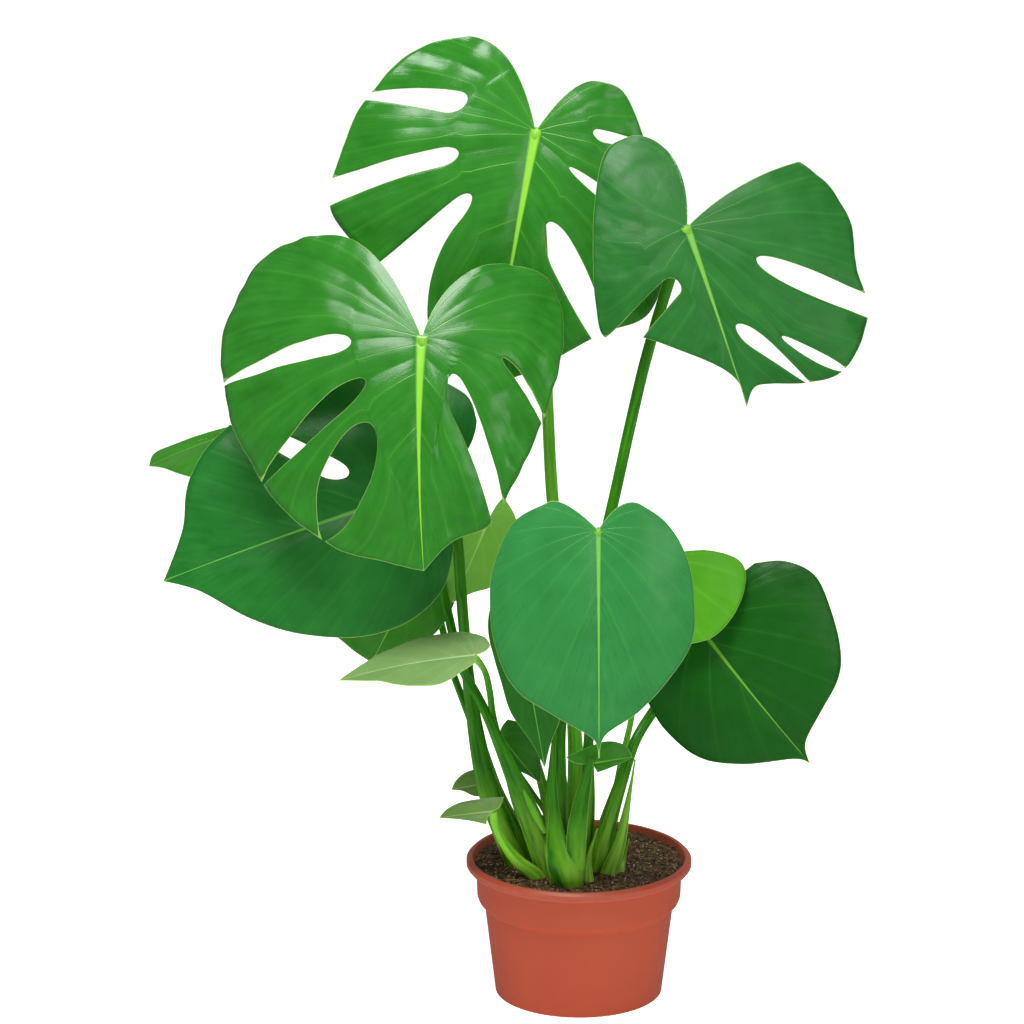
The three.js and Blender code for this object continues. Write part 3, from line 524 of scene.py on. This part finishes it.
# A waxy leaf: a thin clear cuticle over soft green tissue. What gives it away is a broad wet-looking
# sheen broken by the quilting, pale sunk veins, and a hair-thin yellow-green margin.
def leaf_surface(name, face, deep, vein_tone, rib_tone, rough, streak):
    """A leaf's skin, patterned by the blade's own layers, with its distances in millimetres: tissue from
    deep to face, veins and midrib in their own tones, and streaks that stand up by streak."""
    material, tree, shader = new_material(name, {"IOR": 1.45, "Specular IOR Level": 0.64 - rough})
    vein = add_node(tree, "Attribute", out="Vector", attribute_name="vein")
    phase, u, span = add_node(tree, "SeparateXYZ", {0: vein}).node.outputs
    lamina = add_node(tree, "Attribute", out="Vector", attribute_name="lamina")
    edge = add_node(tree, "SeparateXYZ", {0: lamina}, out=2)
    rib = add_node(tree, "Attribute", out="Fac", attribute_name="rib")
    beside = add_node(tree, "Math", {0: phase}, operation="FRACT")
    beside = add_node(tree, "Math", {0: beside, 1: 0.5}, operation="SUBTRACT")
    beside = add_node(tree, "Math", {0: beside}, operation="ABSOLUTE")
    beside = add_node(tree, "Math", {0: beside, 1: span}, operation="MULTIPLY")
    # A side vein is 1.3 mm wide at the midrib and thins to 0.4 mm at the margin.
    thin = add_node(tree, "MapRange", {0: u, 1: 0, 2: 1, 3: 1, 4: 0.3})
    beside = add_node(tree, "Math", {0: beside, 1: thin}, operation="DIVIDE")
    line = add_node(tree, "MapRange", {0: beside, 1: 0.15, 2: 0.65, 3: 1, 4: 0}, **EASED)
    # Its colour is strongest beside the midrib, and gives way to the midrib's own.
    fade = add_node(tree, "MapRange", {0: u, 1: 0.05, 2: 0.9, 3: 0.4, 4: 0.08})
    line = add_node(tree, "Math", {0: line, 1: fade}, operation="MULTIPLY")
    middle = add_node(tree, "MapRange", {0: rib, 1: 0.5, 2: 1.3, 3: 0.95, 4: 0}, **EASED)
    off_middle = add_node(tree, "MapRange", {0: rib, 1: 0.8, 2: 1.6})
    line = add_node(tree, "Math", {0: line, 1: off_middle}, operation="MULTIPLY")
    # The tissue is a little lighter for up to 7 mm on each side of a vein.
    glow = add_node(tree, "MapRange", {0: beside, 1: 0, 2: 7, 3: 0.07, 4: 0}, **EASED)
    # Side veins of the second order: fine streaks a few millimetres apart that run with the first.
    across = add_node(tree, "Math", {0: phase, 1: 9}, operation="MULTIPLY")
    outward = add_node(tree, "Math", {0: u, 1: 3.5}, operation="MULTIPLY")
    grainway = add_node(tree, "CombineXYZ", {0: across, 1: outward})
    streaks = add_node(tree, "TexNoise", {"Vector": grainway, "Scale": 1, "Detail": 3, "Roughness": 0.55})
    blotch = add_node(tree, "TexNoise", {"Vector": lamina, "Scale": 0.03, "Detail": 3})
    # Where the veins crowd together near the stalk the streaks die away.
    spread = add_node(tree, "MapRange", {0: span, 1: 10, 2: 60})
    spread = add_node(tree, "Math", {0: spread, 1: off_middle}, operation="MULTIPLY")
    streaks = add_node(tree, "Mix", {0: spread, 2: 0.5, 3: streaks})
    mixed = add_node(tree, "Math", {0: streaks, 1: blotch}, operation="ADD")
    tone = add_node(tree, "MapRange", {0: mixed, 1: 0.55, 2: 1.45})
    tissue = add_node(tree, "Mix", {0: tone, 6: linear(deep), 7: linear(face)}, **IN_COLOUR)
    hem = add_node(tree, "MapRange", {0: edge, 1: 0.2, 2: 0.7, 3: 0.5, 4: 0}, **EASED)
    for cover, code in ((glow, vein_tone), (line, vein_tone), (middle, rib_tone), (hem, "#b5d67a")):
        tissue = add_node(tree, "Mix", {0: cover, 6: tissue, 7: linear(code)}, **IN_COLOUR)
    gloss = add_node(tree, "MapRange", {0: streaks, 1: 0.3, 2: 0.7, 3: rough - 0.05, 4: rough + 0.08})
    # Veinlets: a net of 2 mm cells, pressed about 0.04 mm into the skin.
    net = add_node(tree, "TexVoronoi", {"Vector": lamina, "Scale": 0.5}, feature="DISTANCE_TO_EDGE")
    net = add_node(tree, "MapRange", {0: net, 1: 0, 2: 0.12})
    height = add_node(tree, "Math", {0: streaks, 1: streak}, operation="MULTIPLY")
    height = add_node(tree, "Math", {0: net, 1: 0.05, 2: height}, operation="MULTIPLY_ADD")
    height = add_node(tree, "Math", {0: line, 1: -0.6, 2: height}, operation="MULTIPLY_ADD")
    bump = add_node(tree, "Bump", {"Strength": 0.6, "Distance": 0.0007, "Height": height})
    feed(shader, {"Base Color": tissue, "Roughness": gloss, "Normal": bump})
    return material


leaf_margin = leaf_surface("leaf_margin_cartilage", "#9dcb52", "#86b842", "#b4d873", "#b4d873", 0.45, 0.2)
leaf_underside = leaf_surface("leaf_underside", "#6a9d4b", "#568a3b", "#8db567", "#9cc172", 0.55, 0.35)


def leaf_skins(kind, face, deep, vein_tone, rib_tone, rough, streak):
    """The upper skin, the paler and duller skin below, and the margin."""
    cuticle = leaf_surface(kind + "_leaf_cuticle", face, deep, vein_tone, rib_tone, rough, streak)
    return cuticle, leaf_underside, leaf_margin


# Greens run from the wet-looking yellow-green of new leaves to the blue-green and the dull dark green
# of old or shaded ones; the duller the leaf, the rougher its cuticle. The pale green also holds painted light, and
# the olive a painted sheen.
vivid = leaf_skins("vivid", "#307f24", "#1a6310", "#5faa36", "#86c83a", 0.19, 0.7)
bluish = leaf_skins("bluish", "#256f28", "#17561a", "#4e9440", "#6eac44", 0.36, 0.6)
deep_green = leaf_skins("deep_green", "#23762a", "#145f1a", "#488f36", "#62a540", 0.32, 0.7)
satin = leaf_skins("satin", "#31873f", "#217031", "#4ea044", "#70b84e", 0.28, 1.1)
dark = leaf_skins("dark", "#0f5a0c", "#074a06", "#347e20", "#60a028", 0.34, 0.5)
middling = leaf_skins("middling", "#36841a", "#266e0f", "#6aa43e", "#82b846", 0.36, 0.5)
young = leaf_skins("young", "#509e14", "#3f8b0c", "#7fbe46", "#94cc4a", 0.32, 0.4)
# Pale: the underside's paler green, made brighter still: painted light coming through the leaf.
pale = leaf_skins("pale", "#8acd50", "#74ba40", "#a6d870", "#b4de7a", 0.36, 0.4)
# Olive: a greyish green, partly the leaf's own and partly a painted sheen.
olive = leaf_skins("olive", "#7ba25c", "#678c4c", "#a0bb82", "#a8c88c", 0.3, 0.4)
lush = leaf_skins("lush", "#1f7310", "#165f0a", "#46902a", "#62a534", 0.34, 0.4)
mossy = leaf_skins("mossy", "#6d9445", "#577f35", "#8fae64", "#a3c474", 0.34, 0.4)


def half_blade(fold, curl, edge, slits=(), notch=(0.15, 0.8)):
    """Half a blade: degrees folded up and curled down, its flat margin from the tip to the crown of its
    lobe, its slits as (v, start, v at the margin, width, width of the mouth, and for some the rounding of
    the inner end and how late it widens), and where the crown's vein bends, as a share of its place."""
    return dict(fold=fold, curl=curl, edge=edge, slits=list(slits), notch=notch)


# Large slit blades, from the oldest stalks: `at` is where a blade meets its stalk, and `left` is the half
# on the left as the blade hangs before the front.
LEAVES = {
    "top": dict(
        surface=vivid, slot="leaf_fresh", veins=7, quilt=2.0, ripple=7, midrib=4.4,
        at=(-41, 60, 805), clock=11.1, lean=20, turn=4, length=236, droop=22, nod=12,
        left=half_blade(8, 26, [(63, 195), (126, 144), (174, 101), (171, 38), (154, -10), (122, -54),
            (76, -74)],
            slits=[(0.31, 0.34, 0.21, 18, 78), (0.44, 0.37, 0.46, 17, 26), (0.7, 0.43, 0.7, 24, 9)],
            notch=(0.43, 1.09)),
        right=half_blade(8, 26, [(34, 216), (68, 189), (96, 168), (133, 144), (139, 85), (118, 23),
            (94, -20), (72, -50), (49, -54)],
            slits=[(0.29, 0.29, 0.31, 30, 14, 0.3, 3), (0.49, 0.26, 0.57, 13, 12, 0.6, 2),
                   (0.72, 0.49, 0.73, 13, 10)], notch=(0.53, 1.08)),
        stalk=dict(foot=(-5, 12), wide=10, thick=7, slim=5.6, sheath=0.3,
            via=[(-3, 0, 186), (-4, 12, 240), (-13, 30, 351), (-25, 48, 462), (-30, 66, 552),
                 (-35, 84, 680), (-39, 84, 764)])),
    "front_left": dict(
        surface=vivid, slot="leaf_fresh", veins=7, quilt=2.2, ripple=8, midrib=4.4,
        at=(-143, -60, 641), clock=3.4, lean=30, turn=15, length=210, droop=30, nod=16,
        left=half_blade(12, 40, [(39, 199), (91, 181), (144, 136), (180, 80), (199, -1), (180, -62),
            (147, -94), (104, -99)],
            slits=[(0.29, 0.36, 0.25, 48, 3, 0.35, 5), (0.41, 0.31, 0.39, 22, 4, 0.3, 3),
                   (0.56, 0.33, 0.57, 20, 3, 0.2, 2)], notch=(0.45, 1.07)),
        right=half_blade(-8, 44, [(25, 186), (64, 169), (92, 119), (115, 76), (136, -23), (116, -74),
            (75, -80)],
            slits=[(0.42, 0.28, 0.31, 34, 20), (0.63, 0.58, 0.58, 12, 5, 0.6, 3)], notch=(0.22, 0.88)),
        stalk=dict(foot=(-56, -10), wide=13, thick=7, slim=5.4, sheath=0.45,
            via=[(-84, -8, 198), (-100, -5, 285), (-107, -6, 362), (-114, -14, 460), (-129, -28, 548)])),
    "upper_right": dict(
        surface=bluish, slot="leaf_dark", veins=7, quilt=1.2, ripple=3.5, midrib=3,
        at=(94, -20, 733), clock=-20.6, lean=25, turn=-8, length=170, droop=22, nod=12,
        left=half_blade(8, 34, [(0, 150), (11, 130), (42, 103), (71, 81), (105, 66), (90, 1), (70, -52),
            (45, -92), (19, -97)],
            slits=[(0.39, 0.43, 0.49, 18, 38)], notch=(-1.4, 0.85)),
        right=half_blade(8, 30, [(11, 156), (26, 157), (60, 167), (95, 166), (132, 128), (135, 85),
            (145, 43), (139, 4), (118, -28)],
            slits=[(0.23, 0.46, 0.33, 17, 3, 0.6, 3), (0.36, 0.72, 0.44, 13, 4, 1, 5),
                   (0.52, 0.4, 0.58, 22, 22, 0.5, 2)], notch=(0.41, 0.88)),
        stalk=dict(foot=(-12, -63), wide=16, thick=6, slim=5.2, sheath=0.3,
            via=[(-22, -40, 170), (-21, -36, 227), (-17, -30, 278), (3, -20, 365), (26, -8, 458),
                 (58, 12, 600), (79, 18, 673)])),
    "left_large": dict(
        surface=deep_green, slot="leaf_dark", veins=8, quilt=1.2, ripple=3.5, midrib=2.6,
        at=(-146, -5, 486), clock=74.1, lean=10, turn=24, length=252, droop=20, nod=12,
        left=half_blade(8, 24, [(37, 219), (83, 195), (116, 147), (134, 63), (115, -18), (75, -65),
            (45, -69)],
            slits=[(0.38, 0.3, 0.44, 22, 12)], notch=(0.2, 0.8)),
        right=half_blade(8, 24, [(22, 221), (61, 185), (90, 146), (111, 95), (112, 49), (94, 10),
            (61, -12)],
            notch=(0.2, 0.8)),
        stalk=dict(foot=(-26, -42), wide=14, thick=6, slim=4.2, sheath=0.5,
            via=[(-48, -40, 188), (-71, -42, 247), (-92, -38, 295), (-108, -20, 320), (-120, 4, 359),
                 (-134, 18, 422)])),
}

# Whole heart-shaped blades, which younger stalks bear before slits form.
LEAVES |= {
    "front": dict(
        surface=satin, slot="leaf_fresh", veins=9, quilt=0.5, ripple=2, midrib=1.9,
        at=(14, -120, 480), clock=-0.3, lean=22, turn=0, length=206, droop=24, nod=12,
        left=half_blade(12, 42, [(6, 187), (39, 166), (73, 145), (91, 116), (100, 74), (96, 33), (76, -8),
            (47, -23)],
            notch=(0.77, 1.51)),
        right=half_blade(12, 42, [(6, 184), (37, 161), (66, 131), (85, 102), (89, 69), (82, 28), (63, -5),
            (37, -23)],
            notch=(0.53, 1.32)),
        stalk=dict(foot=(5, -10), via=[(8, -18, 192), (8, -32, 255), (12, -56, 339), (14, -84, 414)],
            wide=8, thick=5, slim=4, sheath=0.5)),
    "right": dict(
        surface=dark, slot="leaf_dark", veins=7, quilt=0.9, ripple=2.5, midrib=2.1,
        at=(108, 20, 351), clock=-40.3, lean=24, turn=0, length=167, droop=22, nod=12,
        left=half_blade(10, 30, [(9, 154), (47, 129), (77, 99), (87, 57), (81, 21), (67, 0), (45, -6)]),
        right=half_blade(10, 30, [(10, 149), (40, 135), (71, 122), (90, 103), (107, 68), (115, 34),
            (102, 6), (78, -10)]),
        stalk=dict(foot=(17, -26), wide=11, thick=6, slim=4.8, sheath=0.5,
            via=[(25, -24, 165), (39, -20, 212), (53, 0, 246), (78, 31, 277), (98, 43, 313)])),
    "back_left": dict(
        surface=middling, slot="leaf_dark", veins=7, quilt=0.8, ripple=2, midrib=1.4,
        at=(-167, 125, 536), clock=87.8, lean=4, turn=84, length=245, droop=24, nod=10,
        left=half_blade(10, 20, [(24, 234), (6, 190), (13, 133), (34, 65), (46, 12), (24, -8)]),
        right=half_blade(10, 20, [(76, 203), (70, 171), (57, 136), (58, 87), (57, 40), (41, 8)]),
        stalk=dict(foot=(-55, 29), wide=7, thick=4, slim=3.6, sheath=0.4,
            via=[(-81, 34, 194), (-98, 44, 254), (-105, 52, 325), (-115, 90, 392), (-132, 118, 472),
                 (-154, 132, 517)])),
    "under_left": dict(
        surface=middling, slot="leaf_dark", veins=6, quilt=0.7, ripple=2, midrib=1.2,
        at=(-143, 45, 405), clock=29.2, lean=16, turn=10, length=109, droop=20, nod=10,
        left=half_blade(10, 26, [(22, 106), (55, 95), (78, 65), (79, 26), (59, -5)]),
        right=half_blade(10, 26, [(17, 92), (39, 60), (43, 24), (32, -11), (9, -36)]),
        stalk=dict(foot=(-44, 7), wide=7, thick=4, slim=3.4, sheath=0.5,
            via=[(-72, 8, 183), (-92, 10, 236), (-108, 14, 279), (-118, 24, 305), (-129, 44, 347),
                 (-139, 54, 378)])),
    "light_right": dict(
        surface=young, slot="leaf_light", veins=6, quilt=0.5, ripple=1.5, midrib=1,
        at=(69, 10, 415), clock=-6.2, lean=22, turn=0, length=97, droop=20, nod=10,
        left=half_blade(10, 30, [(9, 88), (33, 71), (45, 42), (41, 5), (22, -13)]),
        right=half_blade(10, 30, [(16, 82), (45, 76), (67, 58), (82, 29), (78, 8), (53, -3), (28, -5)]),
        stalk=dict(foot=(25, 12), wide=6, thick=4, slim=2.6, sheath=0.5,
            via=[(34, 4, 184), (40, 10, 221), (48, 16, 257), (59, 38, 320), (67, 32, 370)])),
    "light_middle": dict(
        surface=pale, slot="leaf_light", veins=5, quilt=0.5, ripple=1, midrib=1.2,
        at=(-84, 30, 448), clock=22.5, lean=14, turn=-8, length=85, droop=16, nod=10,
        left=half_blade(10, 26, [(16, 73), (27, 49), (28, 22), (21, -3)]),
        right=half_blade(10, 26, [(13, 69), (30, 54), (39, 26), (26, -7), (6, -24)]),
        stalk=dict(foot=(-24, 29), wide=6, thick=4, slim=2.8, sheath=0.5,
            via=[(-31, 18, 179), (-46, 26, 236), (-60, 34, 292), (-69, 40, 348), (-77, 40, 406)])),
    "left_small": dict(
        surface=olive, slot="leaf_light", veins=7, quilt=0.8, ripple=1.5, midrib=1,
        at=(-97, -95, 356), clock=86, lean=4, turn=74, length=124, droop=14, nod=16,
        left=half_blade(14, 26, [(13, 101), (30, 66), (40, 35), (37, 4), (26, -11), (12, -16)]),
        right=half_blade(14, 26, [(20, 91), (38, 60), (41, 33), (28, 13), (15, -1)]),
        stalk=dict(foot=(-32, -15), wide=8, thick=4, slim=3, sheath=0.5,
            via=[(-59, -22, 193), (-73, -26, 248), (-80, -38, 281), (-83, -60, 312), (-88, -84, 340)])),
    "behind_front": dict(
        surface=lush, slot="leaf_dark", veins=6, quilt=0.5, ripple=1.5, midrib=1,
        at=(-55, -40, 365), clock=-9.8, lean=12, turn=0, length=134, droop=16, nod=10,
        left=half_blade(10, 26, [(8, 107), (22, 75), (26, 43), (30, 2), (24, -22), (11, -29)]),
        right=half_blade(10, 26, [(9, 112), (25, 83), (39, 46), (38, 4), (26, -20)]),
        stalk=dict(foot=(-12, 7), via=[(-14, -8, 188), (-20, -14, 249), (-32, -16, 298), (-46, -22, 338)],
            wide=6, thick=4, slim=2.8, sheath=0.5)),
}

# The smallest blades, low among the sheaths.
LEAVES |= {
    "cupped": dict(
        surface=middling, slot="leaf_dark", veins=4, quilt=0.4, ripple=0.6, midrib=0.6,
        at=(-73, -14, 253), clock=-39.6, lean=16, turn=0, length=58, droop=20, nod=10,
        left=half_blade(10, 26, [(3, 46), (10, 28), (11, 8), (4, -6)]),
        right=half_blade(10, 26, [(10, 47), (22, 28), (24, 6), (15, -8)]),
        stalk=dict(foot=(-20, -15), via=[(-28, -4, 167), (-43, 0, 192), (-58, 4, 214), (-67, 2, 232)],
            wide=5, thick=3, slim=2, sheath=0.6)),
    "small_cap": dict(
        surface=middling, slot="leaf_dark", veins=4, quilt=0.4, ripple=0.5, midrib=0.5,
        at=(8, -60, 241), clock=-103.7, lean=10, turn=-20, length=41, droop=40, nod=10,
        left=half_blade(10, 20, [(4, 30), (7, 17), (9, 6)]),
        right=half_blade(10, 20, [(12, 35), (18, 19), (15, 0), (10, -20)]),
        stalk=dict(foot=(0, -37), via=[(-4, -50, 169), (2, -55, 205), (7, -59, 222)],
            wide=9, thick=4, slim=1.8, sheath=0.9)),
    "small_left": dict(
        surface=mossy, slot="leaf_dark", veins=4, quilt=0.4, ripple=0.5, midrib=0.5,
        at=(-80, -62, 196), clock=86, lean=4, turn=35, length=50, droop=14, nod=20,
        left=half_blade(10, 20, [(7, 42), (12, 28), (13, 9), (13, -11)]),
        right=half_blade(10, 20, [(3, 36), (7, 21), (12, 7)]),
        stalk=dict(foot=(-39, -47), via=[(-57, -50, 143), (-72, -56, 166), (-78, -60, 183)],
            wide=8, thick=5, slim=3.4, sheath=0.9)),
    "small_behind": dict(
        surface=mossy, slot="leaf_dark", veins=3, quilt=0.3, ripple=0.3, midrib=0.4,
        at=(-89, 22, 194), clock=81.5, lean=4, turn=30, length=31, droop=14, nod=20,
        left=half_blade(10, 20, [(8, 25), (14, 14), (15, 1)]),
        right=half_blade(10, 20, [(3, 21), (10, 11), (12, 1)]),
        stalk=dict(foot=(-51, 29), via=[(-68, 14, 161), (-80, 22, 178)],
            wide=5, thick=4, slim=2, sheath=0.9)),
}

for name, leaf in LEAVES.items():
    piece = grow_blade(name, leaf)
    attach(piece, "root")
    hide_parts(name + "_blade")


# ---------------------------------------------------------------- stalks
# Each blade's stalk is a fleshy petiole: its foot is a channelled sheath that clasps the younger ones,
# with two thin wings along the channel, and it swells into a pale knee where it meets the blade.
SOIL_TOP, STALK_DEPTH = 124, 18
STALK_SIDES, STALK_ROWS, STALK_STEPS = 36, 110, 240
CHANNEL_SPREAD = 0.42  # half the channel's width, in radians round the stalk
WING_PLACE, WING_SPREAD = 0.72, 0.16  # radians from the middle of the channel, and across a wing
KNEE_SWELL, KNEE_PLACE, KNEE_SPREAD = 0.16, 9, 6  # a share of the girth, and millimetres from the blade


def stalk_line(points, steps):
    """Evenly spaced points of the centripetal Catmull-Rom curve through points."""
    points = [Vector(point) for point in points]
    ends = [2 * points[0] - points[1], *points, 2 * points[-1] - points[-2]]
    fine = []
    for a, b, c, d in zip(ends, ends[1:], ends[2:], ends[3:]):
        ab, bc, cd = ((q - p).length ** 0.5 for p, q in ((a, b), (b, c), (c, d)))
        leave = ((b - a) / ab - (c - a) / (ab + bc) + (c - b) / bc) * bc
        arrive = ((c - b) / bc - (d - b) / (bc + cd) + (d - c) / cd) * bc
        fine += [cubic(b, c, leave, arrive, k / 24) for k in range(24)]
    fine.append(points[-1])
    marks = [0]
    for p, q in zip(fine, fine[1:]):
        marks.append(marks[-1] + (q - p).length)
    line = []
    for k in range(steps + 1):
        mark = marks[-1] * k / steps
        i = min(max(bisect_left(marks, mark), 1), len(fine) - 1)
        line.append(fine[i - 1].lerp(fine[i], (mark - marks[i - 1]) / (marks[i] - marks[i - 1])))
    for _ in range(4):
        line[1:-1] = [(p + 2 * q + r) / 4 for p, q, r in zip(line, line[1:], line[2:])]
    return line, marks[-1]


def grow_stalk(name, stalk, end, material, knee=1):
    """The stalk as a piece. Layer stem holds (share of the way round, millimetres from the foot, share of
    the way up), and layer wing is 1 on the thin wings along the channel."""
    foot = stalk["foot"]
    route = [(*foot, SOIL_TOP - STALK_DEPTH), (*foot, SOIL_TOP), *stalk["via"], end]
    line, length = stalk_line(route, STALK_STEPS)
    tube = bmesh.new()
    stem = tube.loops.layers.float_vector.new("stem")
    wing_layer = tube.loops.layers.float.new("wing")
    inward = math.atan2(foot[1], -foot[0])  # the channel faces the middle of the clump
    for vert in bmesh.ops.create_grid(tube, x_segments=STALK_SIDES, y_segments=STALK_ROWS, size=1)["verts"]:
        around = (vert.co.x + 1) / 2
        share = ((vert.co.y + 1) / 2) ** 1.15
        place = share * (len(line) - 1)
        i = min(int(place), len(line) - 2)
        spot = line[i].lerp(line[i + 1], place - i)
        tangent = (line[min(i + 2, len(line) - 1)] - line[max(i - 1, 0)]).normalized()
        across = (Vector((1, 0, 0)) - tangent * tangent.x).normalized()
        outward = across.cross(tangent)
        angle = math.tau * around
        east, north = math.cos(angle), math.sin(angle)
        grown = smooth(share, 0, stalk["sheath"])
        wide = stalk["wide"] + (stalk["slim"] - stalk["wide"]) * grown
        thick = stalk["thick"] + (stalk["slim"] - stalk["thick"]) * grown
        off = math.remainder(angle - inward, math.tau)
        channel = math.exp(-((off / CHANNEL_SPREAD) ** 2)) * thick * (0.45 - 0.25 * grown)
        wing = math.exp(-(((abs(off) - WING_PLACE) / WING_SPREAD) ** 2)) * (1 - smooth(share, 0.75, 0.92))
        from_blade = length * (1 - share)
        swell = 1 + KNEE_SWELL * knee * math.exp(-(((from_blade - KNEE_PLACE) / KNEE_SPREAD) ** 2))
        bark = 0.25 * noise.noise(Vector((east * 2, north * 2, share * length * 0.02 + foot[0])))
        radius = Vector((east * wide, north * thick)).length * swell
        stretch = swell + (wing * (1.3 - 0.8 * grown) - channel + bark) / radius
        spot += across * east * wide * stretch + outward * north * thick * stretch
        vert.co = spot * 0.001
        for loop in vert.link_loops:
            loop[stem] = (around, share * length, share)
            loop[wing_layer] = wing
    bmesh.ops.remove_doubles(tube, verts=tube.verts, dist=1e-6)
    bmesh.ops.holes_fill(tube, edges=[edge for edge in tube.edges if edge.is_boundary])
    bmesh.ops.recalc_face_normals(tube, faces=tube.faces)
    piece = finish_piece(name, tube, [material])
    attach(piece, "root")
    return piece


# A fleshy stalk has a smooth waxed skin: mid green with faint lengthwise streaks, a wet-looking gloss,
# yellow-green where it comes from the soil, and pale edges to its wings.
def stalk_surface(name, high, low, base):
    """A stalk's skin, patterned by its layers: green from low to high, and base near the soil."""
    material, tree, shader = new_material(name, {"IOR": 1.45, "Specular IOR Level": 0.22})
    stem = add_node(tree, "Attribute", out="Vector", attribute_name="stem")
    around, along, share = add_node(tree, "SeparateXYZ", {0: stem}).node.outputs
    wing = add_node(tree, "Attribute", out="Fac", attribute_name="wing")
    turn = add_node(tree, "Math", {0: around, 1: math.tau}, operation="MULTIPLY")
    east = add_node(tree, "Math", {0: turn}, operation="COSINE")
    north = add_node(tree, "Math", {0: turn}, operation="SINE")
    climb = add_node(tree, "Math", {0: along, 1: 0.012}, operation="MULTIPLY")
    grainway = add_node(tree, "CombineXYZ", {0: east, 1: north, 2: climb})
    streaks = add_node(tree, "TexNoise", {"Vector": grainway, "Scale": 2.2, "Detail": 4, "Roughness": 0.5})
    tone = add_node(tree, "MapRange", {0: streaks, 1: 0.3, 2: 0.7})
    green = add_node(tree, "Mix", {0: tone, 6: linear(low), 7: linear(high)}, **IN_COLOUR)
    pale = add_node(tree, "MapRange", {0: along, 1: 18, 2: 140, 3: 0.85, 4: 0}, **EASED)
    pale = add_node(tree, "Math", {0: pale, 1: tone}, operation="MULTIPLY")
    knee = add_node(tree, "MapRange", {0: share, 1: 0.9, 2: 1, 3: 0, 4: 0.7})
    edge = add_node(tree, "MapRange", {0: wing, 1: 0.6, 2: 1, 3: 0, 4: 0.6})
    for cover, code in ((pale, base), (knee, "#84be3a"), (edge, "#9cc45f")):
        green = add_node(tree, "Mix", {0: cover, 6: green, 7: linear(code)}, **IN_COLOUR)
    gloss = add_node(tree, "MapRange", {0: streaks, 1: 0.3, 2: 0.7, 3: 0.24, 4: 0.38})
    bump = add_node(tree, "Bump", {"Strength": 0.25, "Distance": 0.0004, "Height": streaks})
    feed(shader, {"Base Color": green, "Roughness": gloss, "Normal": bump})
    return material


# The newest stalks, and those that stand in the light, are a lighter and yellower green.
petiole_skin = stalk_surface("petiole_skin", "#3c8810", "#1c5f06", "#8fc62e")
light_petiole_skin = stalk_surface("light_petiole_skin", "#69ba2a", "#489a16", "#a2d440")
LIGHT_STALKED = ("top", "light_right", "light_middle", "small_cap", "small_left")
for name, leaf in LEAVES.items():
    way_out = hang(leaf).to_3x3() @ Vector((0, 0, 1))
    skin = light_petiole_skin if name in LIGHT_STALKED else petiole_skin
    piece = grow_stalk("petiole_" + name, leaf["stalk"], Vector(leaf["at"]) - way_out * 0.6, skin)
    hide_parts(name + "_stalk")

# Bare sheaths, and the spear of the next leaf, lighter for standing with no blade over them.
sheath_skin = stalk_surface("sheath_skin", "#68b021", "#3a8a10", "#a9d04a")
SHEATHS = {
    "young_shoot": dict(foot=(39, -29), via=[(42, -14, 134)], tip=(46, -16, 153), wide=4, thick=2.6),
    "right_sheath": dict(foot=(27, -37), via=[(37, -30, 152), (45, -30, 196)], tip=(51, -26, 234),
                         wide=8, thick=3.4),
    "front_sheath": dict(foot=(8, -55), via=[(8, -44, 142)], tip=(16, -44, 173), wide=6, thick=2.6),
}
for name, sheath in SHEATHS.items():
    sheath |= dict(slim=0.8, sheath=1)  # it tapers all the way, to a fine tip
    piece = grow_stalk("bare_" + name, sheath, sheath["tip"], sheath_skin, knee=0)
    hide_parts(name)


# ---------------------------------------------------------------- sheath wings
# The free wings of old sheaths, thin and limp: one stands in front of the clump, one is a ligule on the
# side of the large left stalk, and one clasps the smallest stalk. Rows are (left, right, height, depth).
WINGS = {
    "front_wing": [
        (-24, -22.4, 292, -45), (-26, -22.6, 262, -49), (-27, -22.4, 233, -54), (-28, -20.5, 206, -59),
        (-29.5, -16.5, 183, -63), (-30.5, -12.5, 171, -66), (-31, -6, 158, -69), (-30, 0.5, 146, -72),
        (-25.5, 2, 134, -73), (-17, -2, 122, -72)],
    "left_ligule": [
        (-52.6, -51.5, 213, -49.5), (-50, -45, 203, -50), (-44, -37.5, 189, -52), (-34, -30, 172, -54)],
    "cap_wing": [
        (8, 11.5, 248, -64), (2, 10.5, 232, -65), (-6, 8, 208, -67), (-12, 6, 180, -69),
        (-12, 4.5, 152, -71), (-9, 3, 134, -71), (-7, 1, 122, -70)],
}
WING_COLUMNS, WING_ROWS = 14, 60
WING_BULGE = 0.16  # how far it bows to the front, as a share of its width
WING_THICKNESS = 0.0009
WING_PALE_FROM = 78  # the height that its paling near the soil is counted from
for name, rows in WINGS.items():
    wing = bmesh.new()
    stem = wing.loops.layers.float_vector.new("stem")
    edge_layer = wing.loops.layers.float.new("wing")
    ribs = [Vector(row) for row in rows]
    for vert in bmesh.ops.create_grid(wing, x_segments=WING_COLUMNS, y_segments=WING_ROWS, size=1)["verts"]:
        across, down = vert.co.x, (1 - vert.co.y) / 2
        left, right, height, depth = spline_point(ribs, down)
        half_width = (right - left) / 2
        crown = WING_BULGE * 2 * half_width * (1 - across * across)
        vert.co = Vector(((left + right) / 2 + across * half_width, depth - crown, height)) * 0.001
        for loop in vert.link_loops:
            loop[stem] = (0.2 + 0.1 * across, height - WING_PALE_FROM, 0.5)
            loop[edge_layer] = abs(across) ** 5
    bmesh.ops.recalc_face_normals(wing, faces=wing.faces)
    piece = finish_piece(name, wing, [sheath_skin if name == "left_ligule" else petiole_skin])
    put_modifier(piece, "SOLIDIFY", thickness=WING_THICKNESS, offset=0)
    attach(piece, "root")
